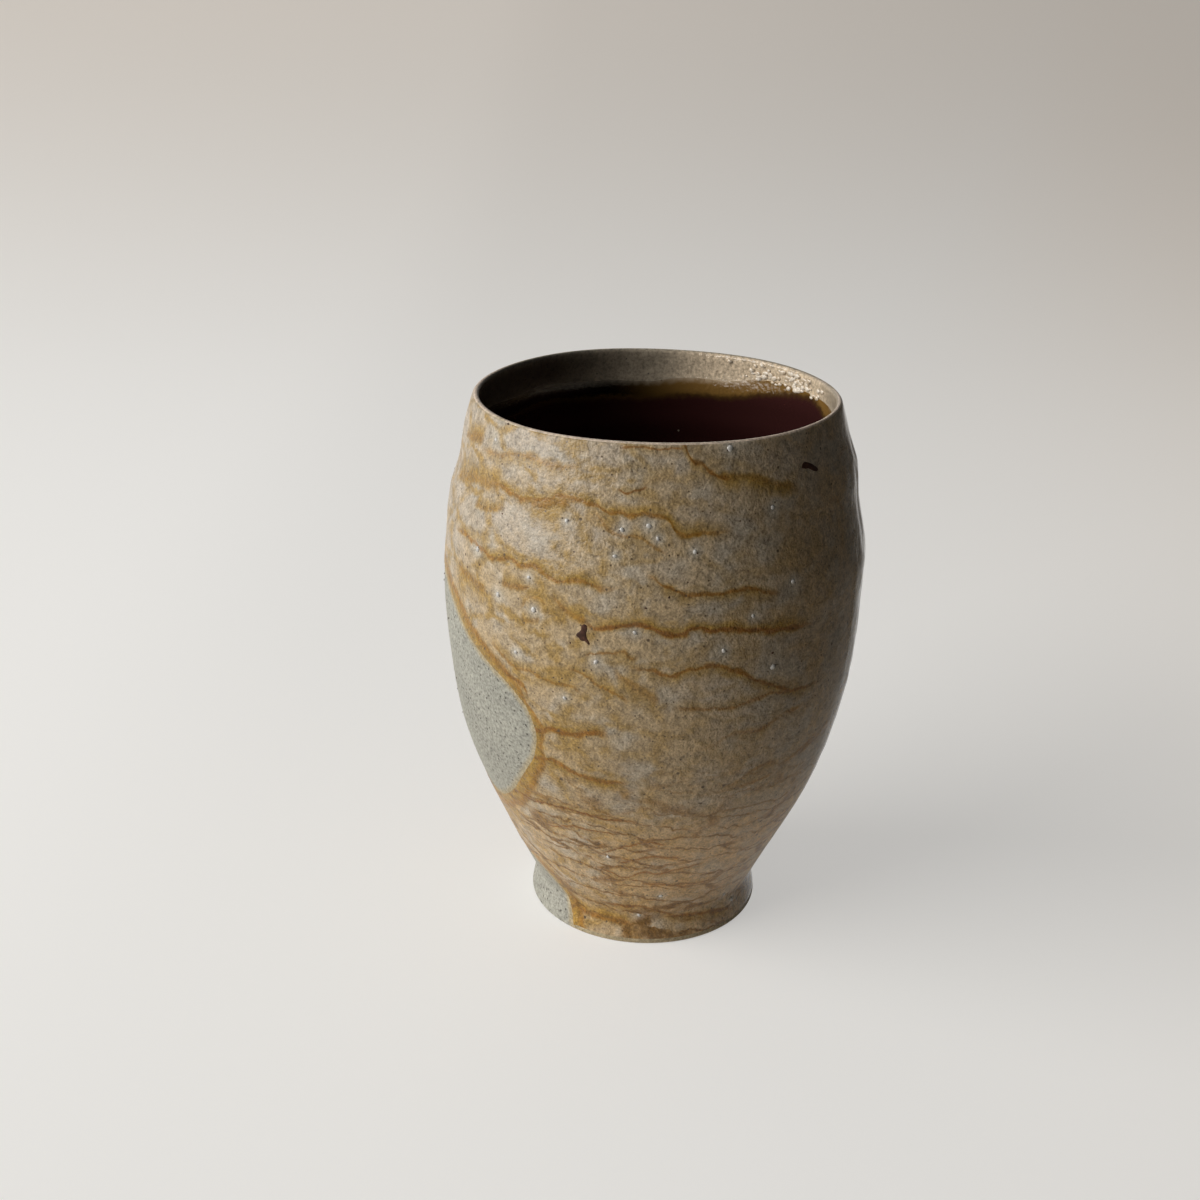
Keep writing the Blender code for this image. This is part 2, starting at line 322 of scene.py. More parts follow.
# Drops of ash that melted inside: how many, the middle and spread of their turns, their heights, the one that
# ran further down, and their form. A drop's rise is a share of its radius
DROPS = 80
DROP_TURN = radians(130.0)
DROP_SPREAD = radians(9.5)
DROP_HEIGHTS = 0.1056, 0.1090
DROP_BELOW = (radians(133.0), 0.1002)
DROP_RADII = 0.00022, 0.00062
DROP_RISE = 0.55
DROP_PROUD = 0.00010

# Stage: the floor with its sweep up the back, and the two lamps
FLOOR_WIDTH = 8.0
SWEEP_START = 0.5
SWEEP_RADIUS = 2.5
WINDOW_PLACE = (-1.78, -0.61, 0.85)
WINDOW_AIM = (0.0, 0.0, 0.06)
WINDOW_SIZE = 2.0, 1.4
OVERHEAD_PLACE = (-0.1, 0.1, 1.4)
OVERHEAD_AIM = (0.0, 0.1, 0.0)
OVERHEAD_SIZE = 2.0, 2.0


def length(name, description, default):
    """Size of the tumbler that a user can change."""
    return FloatProperty(name=name, description=description, default=default, min=0.0, unit="LENGTH",
                         subtype="DISTANCE", precision=5)


def share(name, description, default):
    """Plain number between nothing and one."""
    return FloatProperty(name=name, description=description, default=default, min=0.0, max=1.0,
                         subtype="FACTOR")


def angle(name, description, default):
    """Turn or lean that a user can change."""
    return FloatProperty(name=name, description=description, default=default, unit="ROTATION",
                         subtype="ANGLE")


def colour(name, description, default):
    """Colour that a user can change, in linear light."""
    return FloatVectorProperty(name=name, description=description, default=default, min=0.0, max=1.0,
                               size=3, subtype="COLOR")


def power(name, description, default):
    """Strength of a lamp."""
    return FloatProperty(name=name, description=description, default=default, unit="POWER")


def level(name, description, default):
    """Brightness as a plain number, where 1 is white."""
    return FloatProperty(name=name, description=description, default=default, min=0.0)


class TumblerForm(PropertyGroup):
    """Sizes of the thrown form and of what lies on it."""

    height: length("Height", "From the resting face to the lip", BODY_HIGH.z)
    rim_radius: length("Rim radius", "Outside radius at the lip", 0.0354)
    belly_radius: length("Belly radius", "Largest outside radius", 0.0417)
    belly_height: length("Belly height", "Height of the largest radius", 0.077)
    waist_radius: length("Waist radius", "Outside radius above the foot", 0.02305)
    foot_radius: length("Foot radius", "Outside radius of the foot", FOOT_HIGH.x + 0.0003)
    foot_height: length("Foot height", "Where the wall meets the foot", BODY_LOW.z)
    waist_softness: length("Waist softness", "How far the waist is rounded out", 0.00022)
    waist_lean: angle("Waist lean", "Lean of the wall from upright at the waist", radians(26.0))
    rim_lean: angle("Rim lean", "Lean of the wall from upright at the rim", radians(17.5))
    waist_fullness: share("Waist fullness", "How long the wall keeps the waist's lean", 0.41)
    belly_fullness_below: share("Belly fullness below", "How long the belly stays upright below", 0.46)
    belly_fullness_above: share("Belly fullness above", "How long the belly stays upright above", 0.25)
    rim_fullness: share("Rim fullness", "How long the wall keeps the rim's lean", 0.25)
    wall: length("Wall", "Thickness of the wall below the lip", 0.0036)
    floor: length("Floor", "Thickness of the floor over the foot", 0.0050)
    floor_dish: length("Floor dish", "How far the glazed floor rises towards the wall", 0.0022)
    floor_ring: length("Floor ring", "Distance between throwing rings on the floor inside", 0.0075)
    inside_fillet: length("Inside fillet", "Height of the curve from floor to wall", 0.012)
    lip: length("Lip", "Thickness of the lip", 0.0014)
    lip_taper: length("Lip taper", "Height over which the wall thins to the lip", 0.012)
    recess_radius: length("Recess radius", "Radius of the hollow under the foot", 0.0172)
    underside_dome: length("Underside dome", "How far the hollow under the foot is domed", 0.0004)
    recess_fillet: length("Recess fillet", "Rounding inside that hollow", 0.0022)
    foot_edge: length("Foot edge", "Rounding of the foot's lower edge", 0.0006)
    coat: length("Coat", "How far the ash stands proud of the clay", 0.00014)
    coat_depth: length("Coat depth", "Thickness of the ash with what is fused into the clay", 0.00032)
    coat_feather: length("Coat feather", "Distance over which the ash thins to its edge", 0.0009)
    coat_reach: angle("Coat reach", "How far the ash reaches up round the lip", radians(75.0))
    coat_lift: length("Coat lift", "Height of the bare edge under the ash", 0.0010)
    glaze: length("Glaze", "Thickness of the glaze inside", 0.0004)
    glaze_line: length("Glaze line", "Height of the line where the dark glaze begins", 0.0993)
    glaze_rise: length("Glaze rise", "How far that line climbs on one side", 0.0054)
    glaze_side: angle("Glaze side", "Turn at which it has climbed highest", radians(120.0))
    glaze_spread: angle("Glaze spread", "How wide that climb is", radians(29.0))
    amber_band: length("Amber band", "Height of the thin amber glaze over that line", 0.0055)
    hidden_row: length("Hidden row", "Distance between rows of facets on the clay", 0.0012)
    ring_depth: length("Ring depth", "How far the throwing spiral stands out near the rim", 0.00026)
    run_depth: length("Run depth", "How far the melted ash stands out in runs on one side", 0.00032)
    run_side: angle("Run side", "Turn of the side where the ash ran", radians(102.0))
    run_spread: angle("Run spread", "Half the width of that side", radians(46.0))
    lip_waver: length("Lip waver", "How far the lip rises and falls", 0.00025)
    stone_radius: length("Stone radius", "Half the width of a common feldspar stone", 0.00052)
    turn_steps: IntProperty(name="Turn steps", description="Facets round the axis", default=300, min=24)
    row_length: length("Row length", "Distance between rows of facets on the wall", 0.00078)


class TumblerColours(PropertyGroup):
    """Colours of the clay, the glazes and the stage."""

    ash_pale: colour("Pale ash", "Ash between the veins", (0.462, 0.390, 0.302))
    ash_tan: colour("Tan ash", "Ash on the flame's side", (0.450, 0.338, 0.200))
    ash_grey: colour("Grey ash", "Cooler ash in clouds", (0.422, 0.371, 0.296))
    halo: colour("Halo", "Ash that a stone has paled", (0.49, 0.445, 0.370))
    vein_ochre: colour("Ochre vein", "Soft colour round a vein", (0.346, 0.212, 0.046))
    vein_brown: colour("Brown vein", "Core of a vein", (0.290, 0.132, 0.017))
    vein_olive: colour("Olive vein", "Fine veins towards the foot", (0.170, 0.096, 0.024))
    vein_rust: colour("Rust vein", "Core of the reddest veins", (0.185, 0.064, 0.011))
    ash_speck: colour("Ash speck", "Dark grains in the ash", (0.11, 0.075, 0.042))
    clay: colour("Clay", "Bare fired clay", (0.375, 0.37, 0.318))
    clay_speck: colour("Clay speck", "Dark grains in the clay", (0.10, 0.09, 0.075))
    # Partly painted highlight: the lip's pale line is its own colour and a highlight on its crest.
    lip_cream_and_highlight: colour("Lip", "Thin cream where the ash draws back from the lip", (0.70, 0.57, 0.45))
    inside_grey: colour("Inside band", "Clay with a breath of glaze under the lip", (0.30, 0.25, 0.185))
    # Partly painted highlight: the ash that fell inside has its own pale colour, made paler still to stand in
    # for the window's highlight on it.
    inside_ash_and_highlight: colour("Inside ash", "Ash that fell inside and melted under the lip", (0.64, 0.51, 0.36))
    glaze_dark: colour("Dark glaze", "Thick iron glaze", (0.036, 0.011, 0.010))
    glaze_amber: colour("Amber glaze", "Thin iron glaze at its upper line", (0.190, 0.102, 0.026))
    # Partly painted highlight: the drops' own glassy cream, made paler to carry the window's highlight.
    drop: colour("Drop", "Glassy drops of ash inside", (0.84, 0.74, 0.61))
    stone: colour("Feldspar", "Melted feldspar stones", (0.68, 0.66, 0.62))
    iron: colour("Iron", "Iron spots burnt out of the clay", (0.045, 0.019, 0.012))
    fringe: colour("Fringe", "Breath of ash on the clay at a bare patch's edge", (0.44, 0.36, 0.22))
    floor: colour("Floor", "Floor and backdrop", (0.50, 0.49, 0.47))
    floor_far: colour("Far floor", "Floor and backdrop far off and to the right", (0.495, 0.455, 0.41))
    floor_bounce: colour("Floor bounce", "Floor as it lights the tumbler from the left", (0.60, 0.56, 0.50))
    floor_front: colour("Floor in front", "Floor as it lights the tumbler from the front", (0.90, 0.82, 0.72))
    floor_shade: colour("Floor shade", "Floor as it lights the tumbler from the right", (0.135, 0.110, 0.084))


class TumblerLight(PropertyGroup):
    """Strength of the lamps and of the light from the room."""

    key: power("Window", "Large soft lamp from the left", 50.0)
    top: power("Overhead", "Wide soft lamp from above", 1.9)
    room: level("Room", "Even light from all round", 0.03)
    mirrored: level("Mirrored room", "How light the room looks in the glaze", 0.05)
    wall: level("Wall", "How light the room looks past the floor's edge", 0.62)
    behind: level("Behind", "Light that the backdrop throws on the back", 0.40)
    glow: level("Floor glow", "How far the floor shows paler than its colour", 0.42)


def form():
    """Sizes as they are set in the scene."""
    return bpy.context.scene.tumbler_form


def colours():
    """Colours as they are set in the scene."""
    return bpy.context.scene.tumbler_colours


# Form of the tumbler

def smooth(value, low, high):
    """Share from 0 at low to 1 at high, eased at both ends."""
    part = np.clip((value - low) / (high - low), 0.0, 1.0)
    return part * part * (3 - 2 * part)


def bezier(start, leave, arrive, end, steps=160):
    """Points along a cubic curve given by its four handles."""
    part = np.linspace(0.0, 1.0, steps)[:, None]
    rest = 1 - part
    handles = [np.array(handle) for handle in (start, leave, arrive, end)]
    weights = (rest ** 3, 3 * rest ** 2 * part, 3 * rest * part ** 2, part ** 3)
    return sum(weight * handle for weight, handle in zip(weights, handles))


def wall_curve():
    """Radii and heights of the even wall, from the waist over the belly to the rim."""
    size = form()
    below = size.belly_height - size.foot_height
    above = size.height - size.belly_height
    waist_keep = size.waist_fullness * below
    rim_keep = size.rim_fullness * above
    lower = bezier(
        (size.waist_radius, size.foot_height),
        (size.waist_radius + waist_keep * tan(size.waist_lean), size.foot_height + waist_keep),
        (size.belly_radius, size.belly_height - size.belly_fullness_below * below),
        (size.belly_radius, size.belly_height),
    )
    upper = bezier(
        (size.belly_radius, size.belly_height),
        (size.belly_radius, size.belly_height + size.belly_fullness_above * above),
        (size.rim_radius + rim_keep * tan(size.rim_lean), size.height - rim_keep),
        (size.rim_radius, size.height),
    )
    return np.vstack([lower, upper[1:]])


def outer_radius(z):
    """Even outside radius at each height, with the waist rounded into the foot."""
    size = form()
    curve = wall_curve()
    wall = np.interp(z, curve[:, 1], curve[:, 0])
    wall = wall - np.clip(size.foot_height - z, 0.0, None) * tan(size.waist_lean)
    foot = size.foot_radius + (size.waist_radius - size.foot_radius) * z / size.foot_height
    return (wall + foot + np.sqrt((wall - foot) ** 2 + 4 * size.waist_softness ** 2)) / 2


def inner_radius(z):
    """Even inside radius of the clay: the wall thins from its full thickness to the lip."""
    size = form()
    lip = size.lip / cos(size.rim_lean)
    return outer_radius(z) - lip - (size.wall - lip) * smooth(size.height - z, 0.0, size.lip_taper)


def lip_centre():
    """Radius and height of the middle of the lip's rounding."""
    size = form()
    half = size.lip / 2
    z = size.height - half
    return float(outer_radius(z + half * sin(size.rim_lean))) - half * cos(size.rim_lean), z


def turned(turn, middle):
    """Angle from a middle turn to each turn, by the shorter way round."""
    return np.arctan2(np.sin(turn - middle), np.cos(turn - middle))


def melted_runs(turn, z):
    """Wavering ridges where the ash melted and ran down one side, and a lump where it gathered."""
    size = form()
    away = turned(turn, size.run_side)
    within = 1 - smooth(np.abs(away), 0.35 * size.run_spread, size.run_spread)
    within = within * smooth(z, *RUN_FOOT) * (1 - smooth(z, *RUN_HEAD))
    long_wave, short_wave = RUN_WAVES
    wander = 0.9 * np.sin(2 * pi * z / long_wave) + 0.5 * np.sin(2 * pi * z / short_wave + 1.0)
    broad, fine = RUN_RIDGES
    ridges = np.sin(broad * away + wander) + 0.6 * np.sin(fine * away - 1.4 * wander)
    gather = smooth(turn, *LUMP_EDGE) * (1 - smooth(turn, *LUMP_BACK))
    gather = gather * smooth(z, *LUMP_FOOT) * (1 - smooth(z, *LUMP_HEAD))
    share_of_depth = 0.2 + 0.2 * smooth(z, *RUN_LOW)
    return size.run_depth * (share_of_depth * within * ridges + 0.8 * gather)


def outside_shift(turn, z):
    """How far throwing and the melted ash left the outside from even, along the radius."""
    crests = RING_CRESTS[::-1]
    passed = np.interp(z, crests, range(len(crests))[::-1])
    spiral = np.cos(2 * pi * passed - (turn - RING_LEFT))
    depth = form().ring_depth * (0.45 + 0.55 * smooth(z, *RING_GROWTH))
    oval = OVAL * np.cos(2 * turn + 1.0) + THREE_SIDED * np.cos(3 * turn - 0.5)
    uneven = smooth(z, *UNEVEN_GROWTH) * (oval + LEAN * np.sin(turn))
    return depth * spiral * smooth(z, *RING_START) + uneven + melted_runs(turn, z)


def inside_shift(turn, z):
    """The same for the inside, where the throwing spiral runs closer."""
    size = form()
    spiral = np.cos(2 * pi * z / INSIDE_RING + turn)
    return size.ring_depth * 0.7 * spiral * (1 - smooth(z, size.height - INSIDE_CALM, size.height))


def lip_rise(turn, z):
    """Rise and fall of the lip, dying away down the wall."""
    size = form()
    wave = 0.65 * np.sin(2 * turn + 0.6) + 0.35 * np.sin(5 * turn + 2.0) - 0.6
    return size.lip_waver * wave * smooth(z, size.height - LIP_WAVER_REACH, size.height)


def glaze_line(turn):
    """Height of the line between amber and dark glaze inside."""
    size = form()
    climb = np.exp(-(turned(turn, size.glaze_side) / size.glaze_spread) ** 2)
    wave = climb + 0.06 * np.sin(7 * turn) + 0.04 * np.sin(13 * turn + 1.0)
    return size.glaze_line + size.glaze_rise * wave


def glaze_top(turn):
    """Upper edge of the glaze inside, which stays below the lip."""
    size = form()
    limit = size.height - GLAZE_CLEAR
    open_top = glaze_line(turn) + size.amber_band
    return (open_top + limit - np.sqrt((open_top - limit) ** 2 + GLAZE_ROUNDING ** 2)) / 2


def placed(turn, r, z):
    """Point at a turn, a radius and a height, lifted with the lip."""
    return Vector((r * sin(turn), -r * cos(turn), z + float(lip_rise(turn, z))))


def on_wall(turn, z, proud=0.0):
    """Point on the outside of the finished tumbler."""
    return placed(turn, float(outer_radius(z) + outside_shift(turn, z)) + proud, z)


def in_wall(turn, z, proud=0.0):
    """Point on the inside of the clay."""
    return placed(turn, float(inner_radius(z) + inside_shift(turn, z)) - proud, z)


def floor_top():
    """Height of the clay's floor inside."""
    return form().foot_height + form().floor


def clay_inside(top):
    """Floor, fillet and wall of the clay inside, as radii and heights from the axis up to a height."""
    size = form()
    fillet_top = floor_top() + size.inside_fillet
    foot, above = (float(inner_radius(fillet_top + rise)) for rise in (0.0, size.inside_fillet))
    corner = 2 * foot - above
    reach = np.hypot(foot - corner, size.inside_fillet)
    points = [(r, floor_top()) for r in spaced(0.0, corner - reach, size.hidden_row)]
    for part in np.linspace(0.0, 1.0, 18)[1:-1]:
        rest = 1 - part
        r = rest ** 2 * (corner - reach) + 2 * rest * part * corner + part ** 2 * foot
        points.append((r, floor_top() + part ** 2 * size.inside_fillet))
    return points + [(float(inner_radius(z)), z) for z in spaced(fillet_top, top, size.hidden_row)]


# The photograph's camera and the places that its pixels show

def camera_axes():
    """Directions to the right, up and forward from the camera."""
    forward = np.array((sin(CAMERA_PAN) * cos(CAMERA_PITCH), cos(CAMERA_PAN) * cos(CAMERA_PITCH),
                        -sin(CAMERA_PITCH)))
    sideways = np.array((cos(CAMERA_PAN), -sin(CAMERA_PAN), 0.0))
    upright = np.cross(sideways, forward)
    right = sideways * cos(CAMERA_ROLL) + upright * sin(CAMERA_ROLL)
    up = upright * cos(CAMERA_ROLL) - sideways * sin(CAMERA_ROLL)
    return right, up, forward


def wall_place(pixel):
    """Turn and height where a pixel's line of sight meets the outside, or passes it closest."""
    right, up, forward = camera_axes()
    across = (pixel[0] - IMAGE_SIZE / 2) / FOCAL_PIXELS
    down = (pixel[1] - IMAGE_SIZE / 2) / FOCAL_PIXELS
    sight = forward + right * across - up * down
    points = np.array(CAMERA_PLACE) + np.linspace(SIGHT_NEAR, SIGHT_FAR, SIGHT_STEPS)[:, None] * sight
    clear = np.hypot(points[:, 0], points[:, 1]) - outer_radius(points[:, 2])
    met = np.nonzero(clear <= 0.0)[0]
    x, y, z = points[met[0] if len(met) else np.argmin(clear)]
    return atan2(x, -y), z


# Modelling with Blender's operators

def select_only(*pieces):
    """Selects these objects and nothing else, with the first of them active."""
    bpy.ops.object.select_all(action="DESELECT")
    for piece in pieces:
        piece.select_set(True)
    bpy.context.view_layer.objects.active = pieces[0] if pieces else None


def edit(action):
    """Goes into edit mode with everything selected, or nothing."""
    bpy.ops.object.mode_set(mode="EDIT")
    bpy.ops.mesh.select_all(action=action)


def call(piece, name):
    """Names an object and its mesh."""
    piece.name = name
    piece.data.name = name
    return piece


def start_point(name):
    """New mesh in edit mode with a single point at the origin."""
    select_only()
    bpy.ops.mesh.primitive_plane_add(size=MM, location=(0.0, 0.0, 0.0))
    piece = call(bpy.context.object, name)
    edit("SELECT")
    bpy.ops.mesh.merge(type="CENTER")
    return piece


def turn_profile(name, profile):
    """Turned piece: a profile of radius and height, drawn point by point and turned round the axis."""
    piece = start_point(name)
    bpy.ops.transform.translate(value=(profile[0][0], 0.0, profile[0][1]))
    for (r0, z0), (r1, z1) in zip(profile, profile[1:]):
        bpy.ops.mesh.extrude_vertices_move(TRANSFORM_OT_translate={"value": (r1 - r0, 0.0, z1 - z0)})
    bpy.ops.mesh.select_all(action="SELECT")
    bpy.ops.mesh.remove_doubles(threshold=MERGE_DISTANCE)
    bpy.ops.object.mode_set(mode="OBJECT")
    screw = piece.modifiers.new("turn", "SCREW")
    screw.angle = 2 * pi
    screw.steps = form().turn_steps
    screw.render_steps = screw.steps
    screw.use_merge_vertices = True
    screw.merge_threshold = MERGE_DISTANCE
    bpy.ops.object.modifier_apply(modifier=screw.name)
    edit("SELECT")
    bpy.ops.mesh.remove_doubles(threshold=MERGE_DISTANCE)
    bpy.ops.mesh.normals_make_consistent(inside=False)
    bpy.ops.object.mode_set(mode="OBJECT")
    return piece


def points_of(piece):
    """Turn, radius and height of every point of a mesh."""
    places = np.empty(len(piece.data.vertices) * 3)
    piece.data.vertices.foreach_get("co", places)
    x, y, z = places.reshape(-1, 3).T
    return np.arctan2(x, -y), np.hypot(x, y), z.copy()


def place_points(piece, turn, r, z):
    """Moves every point of a mesh to its turn, radius and height."""
    places = np.stack([r * np.sin(turn), -r * np.cos(turn), z], axis=1)
    piece.data.vertices.foreach_set("co", places.ravel())
    piece.data.update()


def keep_field(piece, name, values):
    """Stores one number for each point, for the finish to read."""
    field = piece.data.attributes.new(name, "FLOAT", "POINT")
    field.data.foreach_set("value", np.asarray(values, dtype=np.float32))


def dress(piece, material, node):
    """Gives a finished piece its material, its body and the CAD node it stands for."""
    piece.data.materials.clear()
    piece.data.materials.append(material)
    select_only(piece)
    bpy.ops.object.shade_smooth_by_angle(angle=SMOOTH_ANGLE)
    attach(piece, BODY)
    if node:
        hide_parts(node)


def spaced(low, high, step):
    """Evenly spaced values from low to high, both included, about a step apart."""
    return np.linspace(low, high, max(2, round(abs(high - low) / step) + 1))


def rows_along(low, high, step):
    """Heights from low to high that part the outside into rows of about even length."""
    fine = np.linspace(low, high, 2000)
    run = np.hypot(np.diff(outer_radius(fine)), np.diff(fine))
    travelled = np.concatenate([[0.0], np.cumsum(run)])
    return np.interp(spaced(0.0, travelled[-1], step), travelled, fine)


def arc(centre, radius, start, end, steps):
    """Points on a round, from one angle to another. The radius may differ from angle to angle."""
    angles = np.linspace(start, end, steps)
    radii = radius(angles) if callable(radius) else np.full(steps, radius)
    return [(centre[0] + r * cos(a), centre[1] + r * sin(a)) for a, r in zip(angles, radii)]


# Outlines of the bare patches

def smooth_loop(points, steps=10):
    """Closed curve through the points."""
    loop = np.array(points, dtype=float)
    before, after, later = np.roll(loop, 1, 0), np.roll(loop, -1, 0), np.roll(loop, -2, 0)
    made = []
    for part in np.linspace(0.0, 1.0, steps, endpoint=False):
        made.append(0.5 * (
            2 * loop + (after - before) * part
            + (2 * before - 5 * loop + 4 * after - later) * part ** 2
            + (3 * loop - before - 3 * after + later) * part ** 3
        ))
    return np.stack(made, axis=1).reshape(-1, 2)


def unrolled(turn, z):
    """Place on the wall laid flat: distance round it from the left side, and height."""
    return (turn - PATCH_SIDE) * outer_radius(z), z


def outside_distance(turn, z, patch):
    """Distance from a patch's outline to each place, negative inside the patch."""
    corners = smooth_loop(patch)
    edge_x, edge_z = unrolled(np.radians(corners[:, 0]), corners[:, 1] * MM)
    x, y = unrolled(turn, z)
    nearest = np.full(x.shape, 1.0)
    inside = np.zeros(x.shape, dtype=bool)
    for i in range(len(edge_x)):
        ax, az, bx, bz = edge_x[i - 1], edge_z[i - 1], edge_x[i], edge_z[i]
        along = (x - ax) * (bx - ax) + (y - az) * (bz - az)
        part = np.clip(along / ((bx - ax) ** 2 + (bz - az) ** 2), 0, 1)
        nearest = np.minimum(nearest, np.hypot(x - ax - part * (bx - ax), y - az - part * (bz - az)))
        if az != bz:
            crossing = (bx - ax) * (y - az) / (bz - az) + ax
            inside ^= ((az > y) != (bz > y)) & (x < crossing)
    return np.where(inside, -nearest, nearest)


def bare_distance(turn, z):
    """Distance from the nearer bare patch, negative inside it."""
    return np.minimum(outside_distance(turn, z, WALL_PATCH), outside_distance(turn, z, FOOT_PATCH))


def band_width(z):
    """Width of the ochre band along the patches' edges at each height."""
    heights, widths = zip(*sorted((wall_place(pixel)[1], width * MM) for pixel, width in BAND_WIDTHS))
    return np.interp(z, heights, widths)


# Places of the stones and specks

def stone_places():
    """Turn, height and size of every feldspar stone: those that show, then more round the back."""
    chance = random.Random(SEED)
    places = [(*wall_place(pixel), chance.uniform(0.8, 1.25)) for pixel in FRONT_STONES]
    drawn = [(chance.uniform(*STONE_TURNS), chance.uniform(*STONE_HEIGHTS), chance.choice(STONE_SIZES))
             for _ in range(BACK_STONES)]
    turns = np.radians([(turn + 180.0) % 360.0 - 180.0 for turn, _, _ in drawn])
    clear = bare_distance(turns, np.array([z for _, z, _ in drawn])) > STONE_CLEAR
    places += [(turn, z, size) for turn, (_, z, size), free in zip(turns, drawn, clear) if free]
    return places


def speck_places():
    """Turn, height and size of every small iron speck, with the pit beside each stone."""
    chance = random.Random(SEED + 1)
    places = [(*wall_place(pixel), chance.uniform(0.8, 1.2)) for pixel in FRONT_SPECKS]
    for turn, z, size in stone_places():
        aside = chance.choice((-1.0, 1.0)) * form().stone_radius * size
        pit_turn = turn + aside * PIT_ASIDE / PIT_WALL_RADIUS
        places.append((pit_turn, z + chance.uniform(-0.6, 0.6) * aside, PIT_SIZE * size))
    for _ in range(BACK_SPECKS):
        turn = radians(chance.uniform(*SPECK_TURNS))
        places.append((atan2(sin(turn), cos(turn)), chance.uniform(*SPECK_HEIGHTS), chance.uniform(0.5, 1.1)))
    return places


# Node materials

def toned(tone, factor):
    """Colour made darker or lighter."""
    return [factor * part for part in tone]


class Nodes:
    """A node tree in the making."""

    def __init__(self, tree):
        self.tree = tree

    def add(self, kind, **settings):
        """New node with its settings."""
        node = self.tree.nodes.new(kind)
        for name, value in settings.items():
            setattr(node, name, value)
        return node

    def put(self, socket, value):
        """Links a socket to an output, or sets it to a plain value."""
        if isinstance(value, bpy.types.NodeSocket):
            self.tree.links.new(value, socket)
        else:
            socket.default_value = value

    def fill(self, node, **values):
        """Puts a value into each socket that is named, with spaces written as low lines."""
        for name, value in values.items():
            self.put(node.inputs[name.replace("_", " ")], value)
        return node

    def math(self, operation, *values, clamp=False):
        """One step of arithmetic."""
        node = self.add("ShaderNodeMath", operation=operation, use_clamp=clamp)
        for socket, value in zip(node.inputs, values):
            self.put(socket, value)
        return node.outputs[0]

    def chain(self, operation, values):
        """The same step of arithmetic over any number of values, from the first on."""
        return reduce(lambda first, second: self.math(operation, first, second), values)

    def plus(self, *values):
        return self.chain("ADD", values)

    def times(self, *values):
        return self.chain("MULTIPLY", values)

    def most(self, *values):
        return self.chain("MAXIMUM", values)

    def centred(self, value, reach):
        """Carries a random value of 0 to 1 over to a shift of up to half the reach either way."""
        return self.times(self.math("SUBTRACT", value, 0.5), reach)

    def ease(self, value, low, high, start=0.0, end=1.0, kind="SMOOTHSTEP"):
        """Carries a value from the range low to high over to the range start to end."""
        node = self.add("ShaderNodeMapRange", interpolation_type=kind)
        self.fill(node, Value=value, From_Min=low, From_Max=high, To_Min=start, To_Max=end)
        return node.outputs["Result"]

    def mix(self, part, first, second, blend="MIX"):
        """Colour between two colours."""
        node = self.add("ShaderNodeMix", data_type="RGBA", blend_type=blend)
        sockets = {socket.identifier: socket for socket in node.inputs}
        self.put(sockets["Factor_Float"], part)
        for socket, value in ((sockets["A_Color"], first), (sockets["B_Color"], second)):
            self.put(socket, value if isinstance(value, bpy.types.NodeSocket) else (*value, 1.0))
        return next(socket for socket in node.outputs if socket.identifier == "Result_Color")

    def shaded(self, base, shade):
        """Colour made darker or lighter by a plain factor."""
        return self.mix(1.0, base, self.joined(shade, shade, shade), "MULTIPLY")

    def turn_of(self, x, y):
        """Turn from the front, positive towards +X."""
        return self.math("ARCTAN2", x, self.times(y, -1.0))

    def split(self, vector):
        """The three parts of a vector."""
        return self.fill(self.add("ShaderNodeSeparateXYZ"), Vector=vector).outputs

    def joined(self, x, y, z):
        """Vector of three parts."""
        return self.fill(self.add("ShaderNodeCombineXYZ"), X=x, Y=y, Z=z).outputs[0]


